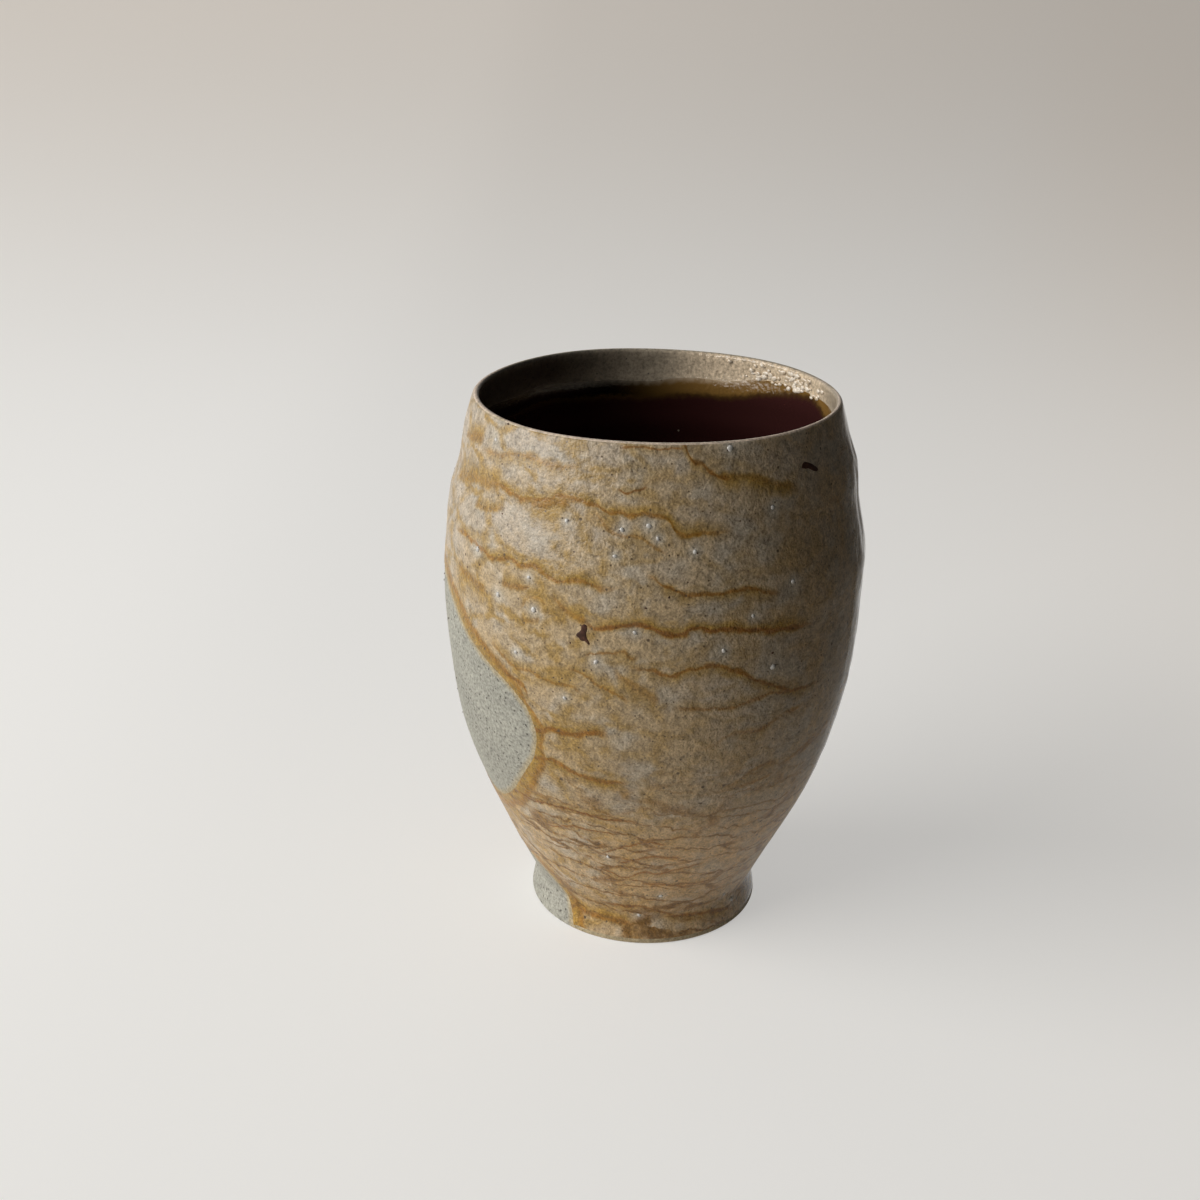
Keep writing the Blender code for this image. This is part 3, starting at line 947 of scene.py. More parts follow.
class Finish(Nodes):
    """A node material in the making, on the piece's Object coordinates."""

    def __init__(self, name):
        self.material = bpy.data.materials.new(name)
        self.material.use_nodes = True
        super().__init__(self.material.node_tree)
        self.shader = self.tree.nodes["Principled BSDF"]
        self.place = self.add("ShaderNodeTexCoord").outputs["Object"]

    def noise(self, grain, detail=2.0, rough=0.5, part="Fac", place=None):
        """Soft random field whose blots are about a grain across."""
        node = self.add("ShaderNodeTexNoise")
        self.fill(node, Vector=place or self.place, Scale=1 / grain, Detail=detail, Roughness=rough)
        return node.outputs[part]

    def cells(self, grain, feature, place=None):
        """Random cells about a grain across."""
        node = self.add("ShaderNodeTexVoronoi", feature=feature)
        return self.fill(node, Vector=place or self.place, Scale=1 / grain)

    def field(self, name):
        """Number that was stored at the piece's points."""
        return self.add("ShaderNodeAttribute", attribute_name=name, attribute_type="GEOMETRY").outputs["Fac"]

    def specks(self, grain, radius, rarity):
        """Small round grains: 1 inside a grain, in only some of the cells."""
        node = self.cells(grain, "F1")
        dot = self.ease(node.outputs["Distance"], radius / grain, 0.5 * radius / grain)
        chosen = self.math("GREATER_THAN", self.split(node.outputs["Color"])["X"], rarity)
        return self.times(dot, chosen)

    def beside(self, middle, near, far):
        """1 within a near angle of a turn, falling to 0 at a far one."""
        x, y, _ = self.split(self.place)
        away = self.math("WRAP", self.math("SUBTRACT", self.turn_of(x, y), middle), pi, -pi)
        return self.ease(self.math("ABSOLUTE", away), far, near)

    def fallen_ash(self):
        """Where ash fell inside, under the lip on one side, which is also where its painted highlight lies.
        """
        return self.beside(radians(138.0), radians(20.0), radians(45.0))

    def inside_band(self, fallen):
        """Colour under the lip inside: speckled brown clay with painted light and shade, lighter towards the
        back right and darker round the left, and pale melted ash where it fell, paler still as a painted
        highlight.
        """
        paint = colours()
        cloud = self.noise(0.003, 3.0, 0.6)
        brown = self.mix(self.ease(cloud, 0.3, 0.7), paint.inside_grey, toned(paint.inside_grey, 0.72))
        brown = self.mix(self.specks(0.0016, 0.00024, 0.5), brown, paint.clay_speck)
        # Painted light and shade: the brown clay is made lighter towards the back right, which faces the
        # window, and darker round the left, which lies in shade.
        painted_lit_side = self.beside(radians(110.0), radians(50.0), radians(130.0))
        brown = self.shaded(brown, self.ease(painted_lit_side, 0.0, 1.0, 0.4, 1.3))
        # The fallen ash is partly its own pale colour and partly a painted highlight.
        return self.mix(fallen, brown, paint.inside_ash_and_highlight)

    def bump(self, height, distance):
        """Normal that follows a fine relief."""
        return self.fill(self.add("ShaderNodeBump"), Height=height, Distance=distance).outputs["Normal"]

    def finish(self, base, roughness, normal=None):
        """Puts colour, roughness and normal into the shader and returns the material."""
        self.fill(self.shader, Base_Color=base, Roughness=roughness)
        if normal:
            self.fill(self.shader, Normal=normal)
        return self.material


def clay_finish(name):
    """Bare fired stoneware: grey, fine-grained, with cream on the lip that is partly a painted highlight, and
    a brown breath inside with painted light and shade.
    """
    paint = colours()
    made = Finish(name)
    size = form()
    z = made.split(made.place)["Z"]
    broad = made.noise(0.012, 3.0)
    grain = made.noise(0.0006, 3.0, 0.65)
    base = made.mix(made.ease(broad, 0.35, 0.7), paint.clay, toned(paint.clay, 0.88))
    base = made.mix(made.specks(0.0011, 0.00029, 0.30), base, paint.clay_speck)
    edge = made.plus(made.field("bare_edge"), made.centred(made.noise(0.0022, 2.0), 1.0))
    base = made.mix(made.ease(edge, -1.3, 0.1, 0.0, 0.9), base, paint.fringe)
    inside = made.field("inside")
    fallen = made.fallen_ash()
    base = made.mix(inside, base, made.inside_band(fallen))
    uneven = made.centred(made.noise(0.003, 2.0), 0.0008)
    # Partly painted highlight: the cream on the lip's crest is the lip's own colour and a painted highlight,
    # kept to the front of the rim.
    lip = made.ease(made.plus(z, uneven), size.height - 0.0007, size.height - 0.0003)
    lip = made.times(lip, made.ease(inside, 0.5, 0.95, 1.0, 0.0),
                     made.beside(0.0, radians(95.0), radians(130.0)))
    base = made.mix(lip, base, paint.lip_cream_and_highlight)
    base = made.shaded(base, made.ease(grain, 0.3, 0.7, 0.56, 1.36, "LINEAR"))
    melted = made.times(inside, fallen)
    gloss = made.math("MULTIPLY_ADD", made.most(inside, lip), -0.36, made.times(melted, -0.20))
    roughness = made.plus(made.ease(grain, 0.3, 0.7, 0.74, 0.62), gloss)
    bubbles = made.times(made.noise(0.0011, 2.0, 0.5), made.times(melted, 5.0))
    return made.finish(base, roughness, made.bump(made.plus(grain, bubbles), 0.00006))


def glaze_finish(name):
    """Iron glaze: amber and bubbly where it is thin, dark and glossy below its line."""
    paint = colours()
    made = Finish(name)
    ripple = made.noise(0.0016, 3.0, 0.6)
    depth = made.plus(made.field("below_line"), made.centred(ripple, 1.6))
    dark = made.ease(depth, -1.1, 0.9)
    fallen = made.fallen_ash()
    # Painted shade: the thin amber glaze is darkened away from the back right, round the shaded left of the
    # inside.
    amber = made.shaded(paint.glaze_amber, made.beside(radians(134.0), radians(24.0), radians(66.0)))
    thin = made.mix(made.ease(depth, -5.2, -2.6), made.inside_band(fallen), amber)
    thin = made.mix(made.ease(depth, -1.4, -0.2), thin, toned(paint.glaze_amber, 0.4))
    base = made.mix(dark, thin, paint.glaze_dark)
    base = made.mix(made.specks(0.006, 0.0003, 0.6), base, paint.inside_grey)
    bubbles = made.noise(0.0009, 2.0, 0.5)
    thin_relief = made.ease(fallen, 0.0, 1.0, 0.2, 0.6)
    relief = made.times(bubbles, made.ease(dark, 0.0, 1.0, thin_relief, 0.05))
    z = made.split(made.place)["Z"]
    dull_floor = made.ease(z, 0.046, 0.022, 0.0, 0.28)
    roughness = made.plus(made.ease(dark, 0.0, 1.0, 0.18, 0.09), dull_floor)
    return made.finish(base, roughness, made.bump(relief, 0.00022))


def draw_curve(node, points):
    """Lays a Float Curve node through points whose first is at 0 and last at 1."""
    line = node.mapping.curves[0]
    for x, y in points[1:-1]:
        line.points.new(x, y)
    line.points[0].location = points[0]
    line.points[-1].location = points[-1]
    node.mapping.use_clip = False
    node.mapping.update()


def back_veins(chance):
    """Veins for the side that the photograph does not show, as turns and heights."""
    made = []
    for row in range(BACK_VEINS):
        middle = VEIN_LOWEST + VEIN_STEP * row + chance.uniform(-VEIN_STRAY, VEIN_STRAY)
        turn = chance.uniform(0.0, VEIN_START_SPREAD) + np.interp(middle, *zip(*VEIN_STARTS))
        height = middle
        route = []
        while turn < VEIN_END:
            route.append((radians(turn), height))
            turn += chance.uniform(*VEIN_BEND)
            height += 0.12 * (middle - height) + chance.uniform(-VEIN_RISE, VEIN_RISE)
        width = chance.uniform(0.36, 0.55)
        rust = chance.uniform(0.0, 0.8)
        made.append(Vein(route, width, 0.95, 0.85, rust, chance.choice((-1, 1))))
    return made


VEIN_FIELDS = ("Soft", "Core", "Rusty")
VEIN_SIZES = ("Along", "Middle", "Height", "Swell", "Kept", "Width", "Haze", "Line", "Rust", "Side")


def vein_group():
    """Node group that lays one vein: the distance from its middle gives its soft haze and its core."""
    tree = bpy.data.node_groups.new("ash_vein", "ShaderNodeTree")
    for name in VEIN_SIZES + VEIN_FIELDS:
        tree.interface.new_socket(name, in_out="INPUT", socket_type="NodeSocketFloat")
    for name in VEIN_FIELDS:
        tree.interface.new_socket(name, in_out="OUTPUT", socket_type="NodeSocketFloat")
    group = Nodes(tree)
    given = group.add("NodeGroupInput").outputs
    middle = group.times(given["Middle"], form().height / MM)
    above = group.math("SUBTRACT", given["Height"], middle)
    width = group.times(given["Width"], given["Swell"])
    hazy_side = group.times(above, given["Side"])
    spread = group.most(hazy_side, group.times(hazy_side, -2.4))
    ends = group.times(given["Along"], group.math("SUBTRACT", 1.0, given["Along"]))
    ends = group.times(group.math("MULTIPLY", ends, 9.0, clamp=True), given["Kept"])
    haze_end = group.math("MULTIPLY_ADD", width, 3.5, 1.3)
    haze = group.ease(spread, group.times(width, 0.8), haze_end, 1.0, 0.0)
    haze = group.times(haze, group.times(ends, given["Haze"]))
    line = group.ease(group.math("ABSOLUTE", above), group.times(width, 0.15),
                      group.times(width, 1.3), 1.0, 0.0)
    line = group.times(line, group.times(ends, given["Line"]))
    rusty = group.times(line, given["Rust"])
    result = group.add("NodeGroupOutput").inputs
    for name, value in zip(VEIN_FIELDS, (haze, line, rusty)):
        group.put(result[name], group.most(given[name], value))
    return tree


class AshFinish(Finish):
    """Melted fly ash: pale, grainy and satin, with ochre veins that gather between the stones."""

    def __init__(self, name):
        super().__init__(name)
        self.x, self.y, self.z = self.split(self.place)
        self.swirl = self.split(self.noise(0.0045, 2.0, 0.55, part="Color"))
        self.ripple = self.noise(0.0012, 2.0, 0.5)
        self.patchy = self.noise(0.0035, 2.0, 0.5)
        self.turn = self.plus(self.turn_of(self.x, self.y), self.centred(self.swirl["X"], 0.035))
        height = self.math("MULTIPLY_ADD", self.z, 1 / MM, self.centred(self.swirl["Y"], 1.7))
        self.height = self.plus(height, self.centred(self.ripple, 0.9))

    def veins(self):
        """Haze, core and rust of all the veins."""
        tree = vein_group()
        swell = self.ease(self.noise(0.0028, 2.0, 0.5), 0.3, 0.7, 0.6, 1.45, "LINEAR")
        tall = form().height
        fields = dict.fromkeys(VEIN_FIELDS, 0.0)
        front = [vein._replace(route=[wall_place(pixel) for pixel in vein.route])
                 for vein in FRONT_VEINS.values()]
        back = back_veins(random.Random(SEED + 2))
        back_turn = self.math("WRAP", self.turn, 2 * pi, 0.0)
        gaps = self.ease(self.noise(0.015, 2.0, 0.5), 0.40, 0.54)
        for veins, turn, kept in ((front, self.turn, 1.0), (back, back_turn, gaps)):
            for vein in veins:
                route = sorted(vein.route)
                first, last = route[0][0], route[-1][0]
                along = self.ease(turn, first, last, kind="LINEAR")
                along.node.clamp = False
                curve = self.fill(self.add("ShaderNodeFloatCurve"), Value=along)
                draw_curve(curve, [((t - first) / (last - first), z / tall) for t, z in route])
                laid = self.add("ShaderNodeGroup", node_tree=tree)
                self.fill(laid, Along=along, Middle=curve.outputs[0], Height=self.height, Swell=swell,
                          Kept=kept, Width=vein.width, Haze=vein.haze, Line=vein.core, Rust=vein.rust,
                          Side=float(vein.side), **fields)
                fields = {name: laid.outputs[name] for name in VEIN_FIELDS}
        return [fields[name] for name in VEIN_FIELDS]

    def web_gap(self, across, upright):
        """Distance from the lines between flat cells that lean with the flow of the ash."""
        lean = self.math("MULTIPLY_ADD", self.x, 0.14, self.z)
        wavy = self.plus(lean, self.centred(self.swirl["Z"], 0.0042))
        wavy = self.plus(wavy, self.centred(self.ripple, 0.0007))
        place = self.joined(self.math("DIVIDE", self.x, across), self.math("DIVIDE", self.y, across),
                            self.math("DIVIDE", wavy, upright))
        return self.cells(1.0, "DISTANCE_TO_EDGE", place).outputs["Distance"]

    def wide_net(self):
        """Soft ochre net between the pale cells round the stones, faint on the side away from the flame."""
        line = self.ease(self.web_gap(0.013, 0.0070), 0.02, 0.15, 1.0, 0.0)
        return self.times(line, self.ease(self.patchy, 0.30, 0.57, 0.12, 0.82),
                          self.ease(self.x, -0.02, 0.02, 1.0, 0.35))

    def close_web(self):
        """Fine dark veins that lie close towards the foot."""
        low = self.ease(self.z, 0.054, 0.028)
        line = self.ease(self.web_gap(0.0190, 0.0037), 0.014, 0.090, 1.0, 0.0)
        return self.times(line, self.ease(self.patchy, 0.32, 0.56, 0.3, 1.0), low)

    def ground(self):
        """Colour of the ash under its veins: tan towards the flame on the front right, paler on the lit left
        above the belly partly as a painted sheen, and grey in clouds.
        """
        paint = colours()
        # Partly painted sheen: the pale side lies where the window lights the wall, and the tan side is the
        # flame's side on the front right.
        facing = self.math("COSINE", self.plus(self.turn, radians(-50.0)))
        flame = self.math("MULTIPLY_ADD", facing, 0.24, 0.26)
        left = self.times(self.ease(self.z, 0.094, 0.080), self.ease(self.x, 0.015, -0.005, 0.0, 0.35))
        flame = self.plus(flame, self.most(left, self.ease(self.z, 0.046, 0.028, 0.0, 0.06)))
        tan_part = self.ease(self.plus(self.noise(0.009, 3.0, 0.55), flame), 0.66, 1.15)
        base = self.mix(tan_part, paint.ash_pale, paint.ash_tan)
        return self.mix(self.ease(self.noise(0.006, 2.0), 0.46, 0.66, 0.0, 0.8), base, paint.ash_grey)

    def lay(self):
        """Lays the colours over each other and finishes the material."""
        paint = colours()
        soft, core, rusty = self.veins()
        net = self.wide_net()
        web = self.close_web()
        edge = self.plus(self.field("bare_edge"), self.centred(self.patchy, 0.5))
        edge_band = self.ease(edge, 0.65, 1.25, 1.0, 0.0)
        edge_line = self.times(self.ease(edge, 0.30, 0.75), self.ease(edge, 0.75, 1.1, 1.0, 0.0))

        base = self.ground()
        haze = self.most(soft, net, self.times(web, 0.6))
        haze = self.times(haze, self.ease(self.patchy, 0.3, 0.6, 0.70, 1.0))
        haze = self.most(haze, edge_band)
        base = self.mix(haze, base, paint.vein_ochre)
        base = self.mix(self.field("stone_halo"), base, paint.halo)
        core = self.most(core, self.times(edge_line, 0.8), web)
        core = self.times(core, self.ease(self.ripple, 0.25, 0.6, 0.55, 0.95))
        base = self.mix(core, base, self.mix(web, paint.vein_brown, paint.vein_olive))
        rusty = self.most(rusty, self.times(web, 0.2))
        base = self.mix(self.times(rusty, 0.8), base, paint.vein_rust)

        grain = self.noise(0.00044, 2.0, 0.7)
        peel = self.noise(0.0015, 2.0, 0.6)
        mottle = self.plus(self.centred(grain, 0.95), self.centred(peel, 0.66))
        base = self.shaded(base, self.ease(mottle, -0.28, 0.28, 0.46, 1.48, "LINEAR"))
        # Painted bounce light: the ash is made brighter and warmer towards the foot, most from the front
        # round to the right.
        low = self.times(self.ease(self.z, 0.046, 0.024), self.ease(self.z, 0.006, 0.016, 0.4, 1.0),
                         self.ease(self.x, -0.016, 0.004, 0.4, 1.0))
        base = self.mix(low, base, self.mix(1.0, base, PAINTED_BOUNCE_WARMTH, "MULTIPLY"))
        base = self.mix(self.specks(0.0017, 0.00024, 0.45), base, paint.ash_speck)
        base = self.mix(self.specks(0.0038, 0.00042, 0.55), base, paint.ash_speck)
        dull = self.plus(grain, self.times(haze, -0.2))
        roughness = self.ease(dull, 0.2, 0.8, 0.30, 0.50)
        molten = self.beside(form().run_side, 0.4 * form().run_spread, form().run_spread)
        roughness = self.times(roughness, self.ease(molten, 0.0, 1.0, 1.0, 0.12))
        relief = self.math("MULTIPLY_ADD", grain, 0.3, peel)
        relief = self.times(relief, self.ease(molten, 0.0, 1.0, 1.0, 0.15))
        self.fill(self.shader, Specular_IOR_Level=0.36)
        return self.finish(base, roughness, self.bump(relief, 0.00030))


def stone_finish(name):
    """Melted feldspar: milky and glassy."""
    paint = colours()
    made = Finish(name)
    cloud = made.noise(0.0006, 2.0)
    base = made.mix(made.ease(cloud, 0.35, 0.65), paint.stone, toned(paint.stone, 0.72))
    return made.finish(base, made.ease(cloud, 0.3, 0.7, 0.05, 0.14))


def drop_finish(name):
    """Ash melted to glass: cream, and paler partly as a painted highlight, with a hard shine."""
    paint = colours()
    made = Finish(name)
    cloud = made.noise(0.0011, 2.0)
    base = made.mix(made.ease(cloud, 0.38, 0.62), paint.drop, paint.inside_ash_and_highlight)
    made.fill(made.shader, Specular_IOR_Level=0.9)
    return made.finish(base, made.ease(cloud, 0.3, 0.7, 0.06, 0.16))


def iron_finish(name):
    """Iron burnt out of the clay: dark brown, slightly glossy."""
    paint = colours()
    made = Finish(name)
    cloud = made.noise(0.0008, 2.0)
    base = made.mix(made.ease(cloud, 0.35, 0.7), paint.iron, toned(paint.iron, 2.2))
    made.fill(made.shader, Specular_IOR_Level=0.2)
    return made.finish(base, made.ease(cloud, 0.3, 0.7, 0.45, 0.65), made.bump(cloud, 0.00008))


# Operators: one for each piece or group of pieces, and one for the stage

class TUMBLER_OT_throw_body(Operator):
    """Throws the clay body, with its drawn lip, its inside and its floor"""

    bl_idname = "tumbler.throw_body"
    bl_label = "Throw Body"

    def lip_radius(self, angles):
        """Radius of the clay's lip: full on its crest, and under the ash further down."""
        size = form()
        return size.lip / 2 - size.coat * (1 - smooth(angles, size.rim_lean, size.coat_reach))

    def execute(self, context):
        size = form()
        centre = lip_centre()
        lean = size.rim_lean
        wall_top = centre[1] + size.lip / 2 * sin(lean)
        lip = arc(centre, self.lip_radius, pi + lean, lean, 25)[1:-1]
        rows = rows_along(size.foot_height, wall_top, size.hidden_row)[::-1]
        outside = [(float(outer_radius(z)) - size.coat, z) for z in rows]
        edge = outside[-1][0]
        under = [(r, size.foot_height + size.underside_dome * (1 - (r / edge) ** 2))
                 for r in spaced(edge - UNDER_EDGE, 0.0, size.hidden_row)]
        inside = clay_inside(centre[1] - size.lip / 2 * sin(lean))
        piece = turn_profile("clay_body", inside + lip + outside + under)
        turn, r, z = points_of(piece)
        inner, outer = inner_radius(z), outer_radius(z)
        outward = np.clip((r - inner) / (outer - inner), 0.0, 1.0)
        shift = outward * outside_shift(turn, z) + (1 - outward) * inside_shift(turn, z)
        place_points(piece, turn, r + shift * smooth(r, *FLOOR_CALM), z + lip_rise(turn, z))
        keep_field(piece, "inside", 1 - smooth(outward, 0.25, 0.75))
        keep_field(piece, "bare_edge", np.where(outward > 0.5, bare_distance(turn, z), -FAR_INSIDE) / MM)
        dress(piece, clay_finish("body_clay"), "thrown_body")
        return {"FINISHED"}


class TUMBLER_OT_turn_foot(Operator):
    """Turns the foot ring, with its rounded edges, resting face and recess"""

    bl_idname = "tumbler.turn_foot"
    bl_label = "Turn Foot"

    def execute(self, context):
        size = form()
        edge = size.foot_edge
        flank_low = float(outer_radius(edge)) - size.coat
        flank = [(float(outer_radius(z)) - size.coat, z) for z in spaced(size.foot_height, edge, FLANK_ROW)]
        outer_edge = arc((flank_low - edge, edge), edge, 0.0, -pi / 2, 9)[1:]
        inner_edge = arc((size.recess_radius + edge, edge), edge, -pi / 2, -pi, 9)
        ceiling = size.foot_height - RECESS_EDGE
        fillet = size.recess_fillet
        hollow = arc((size.recess_radius - fillet, ceiling - fillet), fillet, 0.0, pi / 2, 9)
        top = [(size.recess_radius - fillet, size.foot_height), (flank[0][0], size.foot_height)]
        piece = turn_profile("clay_foot", flank + outer_edge + inner_edge + hollow + top)
        turn, r, z = points_of(piece)
        outward = smooth(r, size.recess_radius + FOOT_EVEN, size.foot_radius - FOOT_UNEVEN)
        place_points(piece, turn, r + outward * outside_shift(turn, z), z)
        keep_field(piece, "inside", np.zeros(len(z)))
        keep_field(piece, "bare_edge", np.where(outward > 0.5, bare_distance(turn, z), -FAR_INSIDE) / MM)
        dress(piece, clay_finish("foot_clay"), "foot_ring")
        return {"FINISHED"}


class TUMBLER_OT_pour_liner(Operator):
    """Pours the iron glaze inside, up to its uneven line below the lip"""

    bl_idname = "tumbler.pour_liner"
    bl_label = "Pour Liner"

    def floor_rise(self, clay):
        """How far the glazed floor is dished and ringed in throwing."""
        size = form()
        near = 1 - smooth(clay[:, 1], floor_top(), floor_top() + 0.6 * size.inside_fillet)
        rings = size.ring_depth * (1 + np.cos(2 * pi * clay[:, 0] / size.floor_ring))
        return near * (size.floor_dish * (clay[:, 0] / size.waist_radius) ** 2 + 0.5 * rings)

    def execute(self, context):
        size = form()
        fillet_top = floor_top() + size.inside_fillet
        nominal_top = size.glaze_line + size.amber_band
        clay = np.array(clay_inside(nominal_top))
        along = np.gradient(clay, axis=0)
        along /= np.linalg.norm(along, axis=1)[:, None]
        normal = np.stack([-along[:, 1], along[:, 0]], axis=1)
        normal[0] = (0.0, 1.0)
        full = 1 - smooth(clay[:, 1], nominal_top - GLAZE_THINS, nominal_top)
        open_face = clay + normal * (size.glaze * full - GLAZE_TUCK * (1 - full))[:, None]
        back = clay - normal * GLAZE_BACK
        open_face[:, 1] += self.floor_rise(clay)
        open_face[0, 0] = 0.0
        back[0, 0] = 0.0
        piece = turn_profile("glaze_liner", [tuple(p) for p in open_face] + [tuple(p) for p in back[::-1]])
        turn, r, z = points_of(piece)
        new_z = z + (glaze_top(turn) - nominal_top) * smooth(z, GLAZE_PULL, nominal_top)
        r = r + (inner_radius(new_z) - inner_radius(z)) * (z > fillet_top)
        shift = inside_shift(turn, new_z) * smooth(r, *FLOOR_CALM)
        place_points(piece, turn, r + shift, new_z + lip_rise(turn, new_z))
        keep_field(piece, "below_line", (glaze_line(turn) - new_z) / MM)
        dress(piece, glaze_finish("iron_glaze"), "liner_glaze")
        return {"FINISHED"}


class TUMBLER_OT_lay_ash(Operator):
    """Lays the melted ash over the outside, open at the two bare patches"""

    bl_idname = "tumbler.lay_ash"
    bl_label = "Lay Ash"

    def open_patches(self, piece):
        """Deletes the faces over the bare patches and draws the edges that are left onto the outlines."""
        turn, r, z = points_of(piece)
        bare = bare_distance(turn, z) < 0.0
        edit("DESELECT")
        mesh = bmesh.from_edit_mesh(piece.data)
        mesh.verts.index_update()
        for face in mesh.faces:
            if sum(bare[corner.index] for corner in face.verts) >= 3:
                face.select_set(True)
        bmesh.update_edit_mesh(piece.data)
        bpy.ops.mesh.delete(type="FACE")
        bpy.ops.object.mode_set(mode="OBJECT")
        turn, r, z = points_of(piece)
        away = bare_distance(turn, z)
        near = np.abs(away) < 0.9 * form().row_length
        rims = self.rim_points(piece) & near
        step = 0.00005
        for _ in range(4):
            here = bare_distance(turn[rims], z[rims])
            width = outer_radius(z[rims])
            slope_x = (bare_distance(turn[rims] + step / width, z[rims]) - here) / step
            slope_z = (bare_distance(turn[rims], z[rims] + step) - here) / step
            steep = slope_x ** 2 + slope_z ** 2 + 0.000001
            turn[rims] -= here * slope_x / steep / width
            z[rims] -= here * slope_z / steep
        return turn, r, z

    def rim_points(self, piece):
        """Marks the points on open edges."""
        mesh = bmesh.new()
        mesh.from_mesh(piece.data)
        marked = np.array([point.is_boundary for point in mesh.verts])
        mesh.free()
        return marked

    def execute(self, context):
        size = form()
        half = size.lip / 2
        centre = lip_centre()
        wall_top = centre[1] + half * sin(size.rim_lean)
        profile = [(float(outer_radius(z)), z) for z in rows_along(size.coat_lift, wall_top, size.row_length)]
        profile += arc(centre, half, size.rim_lean, size.coat_reach, 6)[1:]
        piece = turn_profile("ash_skin", profile)
        turn, r, z = self.open_patches(piece)
        on_lip = z > wall_top + MERGE_DISTANCE
        r = np.where(on_lip, r, outer_radius(z))
        lip_left = size.coat_reach - np.where(on_lip, np.arctan2(z - centre[1], r - centre[0]), size.rim_lean)
        top_left = lip_left * half + np.clip(wall_top - z, 0.0, None)
        away = np.clip(bare_distance(turn, z), 0.0, None)
        feather = np.minimum(np.minimum(away, top_left), z - size.coat_lift)
        sunk = (1 - smooth(feather, 0.0, size.coat_feather)) * (size.coat + COAT_TUCK)
        relief = np.array([
            sum(depth * noise.noise(Vector((a * around, b * upward, layer)))
                for depth, around, upward, layer in ASH_WAVES)
            for a, b in zip(turn, z)
        ])
        r += outside_shift(turn, z) + relief * smooth(feather, 0.0, ASH_WAVES_FADE) - sunk
        halo = np.zeros(len(z))
        for stone_turn, stone_z, stone_size in stone_places():
            gap = np.abs(turned(turn, stone_turn)) * outer_radius(z)
            spread = HALO_SPREAD * size.stone_radius * stone_size
            halo = np.maximum(halo, np.exp(-(gap ** 2 + (z - stone_z) ** 2) / (2 * spread ** 2)))
        keep_field(piece, "stone_halo", halo)
        keep_field(piece, "bare_edge", away / band_width(z))
        place_points(piece, turn, r, z + lip_rise(turn, z))
        shell = piece.modifiers.new("thickness", "SOLIDIFY")
        shell.thickness = size.coat_depth
        shell.offset = -1.0
        bpy.ops.object.modifier_apply(modifier=shell.name)
        dress(piece, AshFinish("fly_ash").lay(), "ash_coat")
        return {"FINISHED"}


def dab(turn, z, width, rise, proud, wall=on_wall):
    """Matrix that lays a unit ball on a wall as a low dab."""
    outward = Vector((sin(turn), -cos(turn), 0.0))
    up = (wall(turn, z + DAB_STEP) - wall(turn, z - DAB_STEP)).normalized()
    side = up.cross(outward).normalized()
    normal = side.cross(up)
    axes = Matrix((side * width, up * width, normal * rise)).transposed().to_4x4()
    return Matrix.Translation(wall(turn, z, proud)) @ axes


def scatter(name, pattern, matrices):
    """Copies a modelled pattern to each place and joins the copies into one piece."""
    copies = []
    for matrix in matrices:
        copy = pattern.copy()
        copy.data = pattern.data.copy()
        copy.data.transform(matrix)
        bpy.context.collection.objects.link(copy)
        copies.append(copy)
    bpy.data.objects.remove(pattern)
    select_only(*copies)
    bpy.ops.object.join()
    return call(bpy.context.object, name)


def pebble(seed):
    """Unit ball with a slightly uneven surface, as a start for stones and specks."""
    select_only()
    bpy.ops.mesh.primitive_ico_sphere_add(subdivisions=2, radius=1.0, location=(0.0, 0.0, 0.0))
    ball = bpy.context.object
    edit("SELECT")
    bpy.ops.transform.vertex_random(offset=0.12, uniform=0.0, normal=1.0, seed=seed)
    bpy.ops.object.mode_set(mode="OBJECT")
    return ball


def lain(flat, chance, narrowest):
    """Matrix of a dab, spun and narrowed at random."""
    spin = Matrix.Rotation(chance.uniform(0.0, 2 * pi), 4, "Z")
    return flat @ spin @ Matrix.Diagonal((1.0, chance.uniform(narrowest, 1.0), 1.0, 1.0))


class TUMBLER_OT_set_stones(Operator):
    """Sets the melted feldspar stones into the ash"""

    bl_idname = "tumbler.set_stones"
    bl_label = "Set Stones"

    def execute(self, context):
        radius = form().stone_radius
        chance = random.Random(SEED + 3)
        matrices = []
        for turn, z, size in stone_places():
            flat = dab(turn, z, radius * size, STONE_RISE * radius * size, -STONE_SUNK)
            matrices.append(lain(flat, chance, 0.65))
        piece = scatter("feldspar_stones", pebble(4), matrices)
        dress(piece, stone_finish("feldspar"), None)
        return {"FINISHED"}


class TUMBLER_OT_set_drops(Operator):
    """Sets the drops of ash that fell inside and melted under the lip"""

    bl_idname = "tumbler.set_drops"
    bl_label = "Set Drops"

    def execute(self, context):
        chance = random.Random(SEED + 5)
        places = [DROP_BELOW]
        for _ in range(DROPS):
            places.append((chance.gauss(DROP_TURN, DROP_SPREAD), chance.uniform(*DROP_HEIGHTS)))
        matrices = []
        for turn, z in places:
            radius = chance.uniform(*DROP_RADII)
            stretch = Matrix.Diagonal((chance.uniform(1.0, 1.7), 1.0, 1.0, 1.0))
            matrices.append(dab(turn, z, radius, DROP_RISE * radius, DROP_PROUD, in_wall) @ stretch)
        piece = scatter("ash_drops", pebble(6), matrices)
        dress(piece, drop_finish("ash_glass"), None)
        return {"FINISHED"}


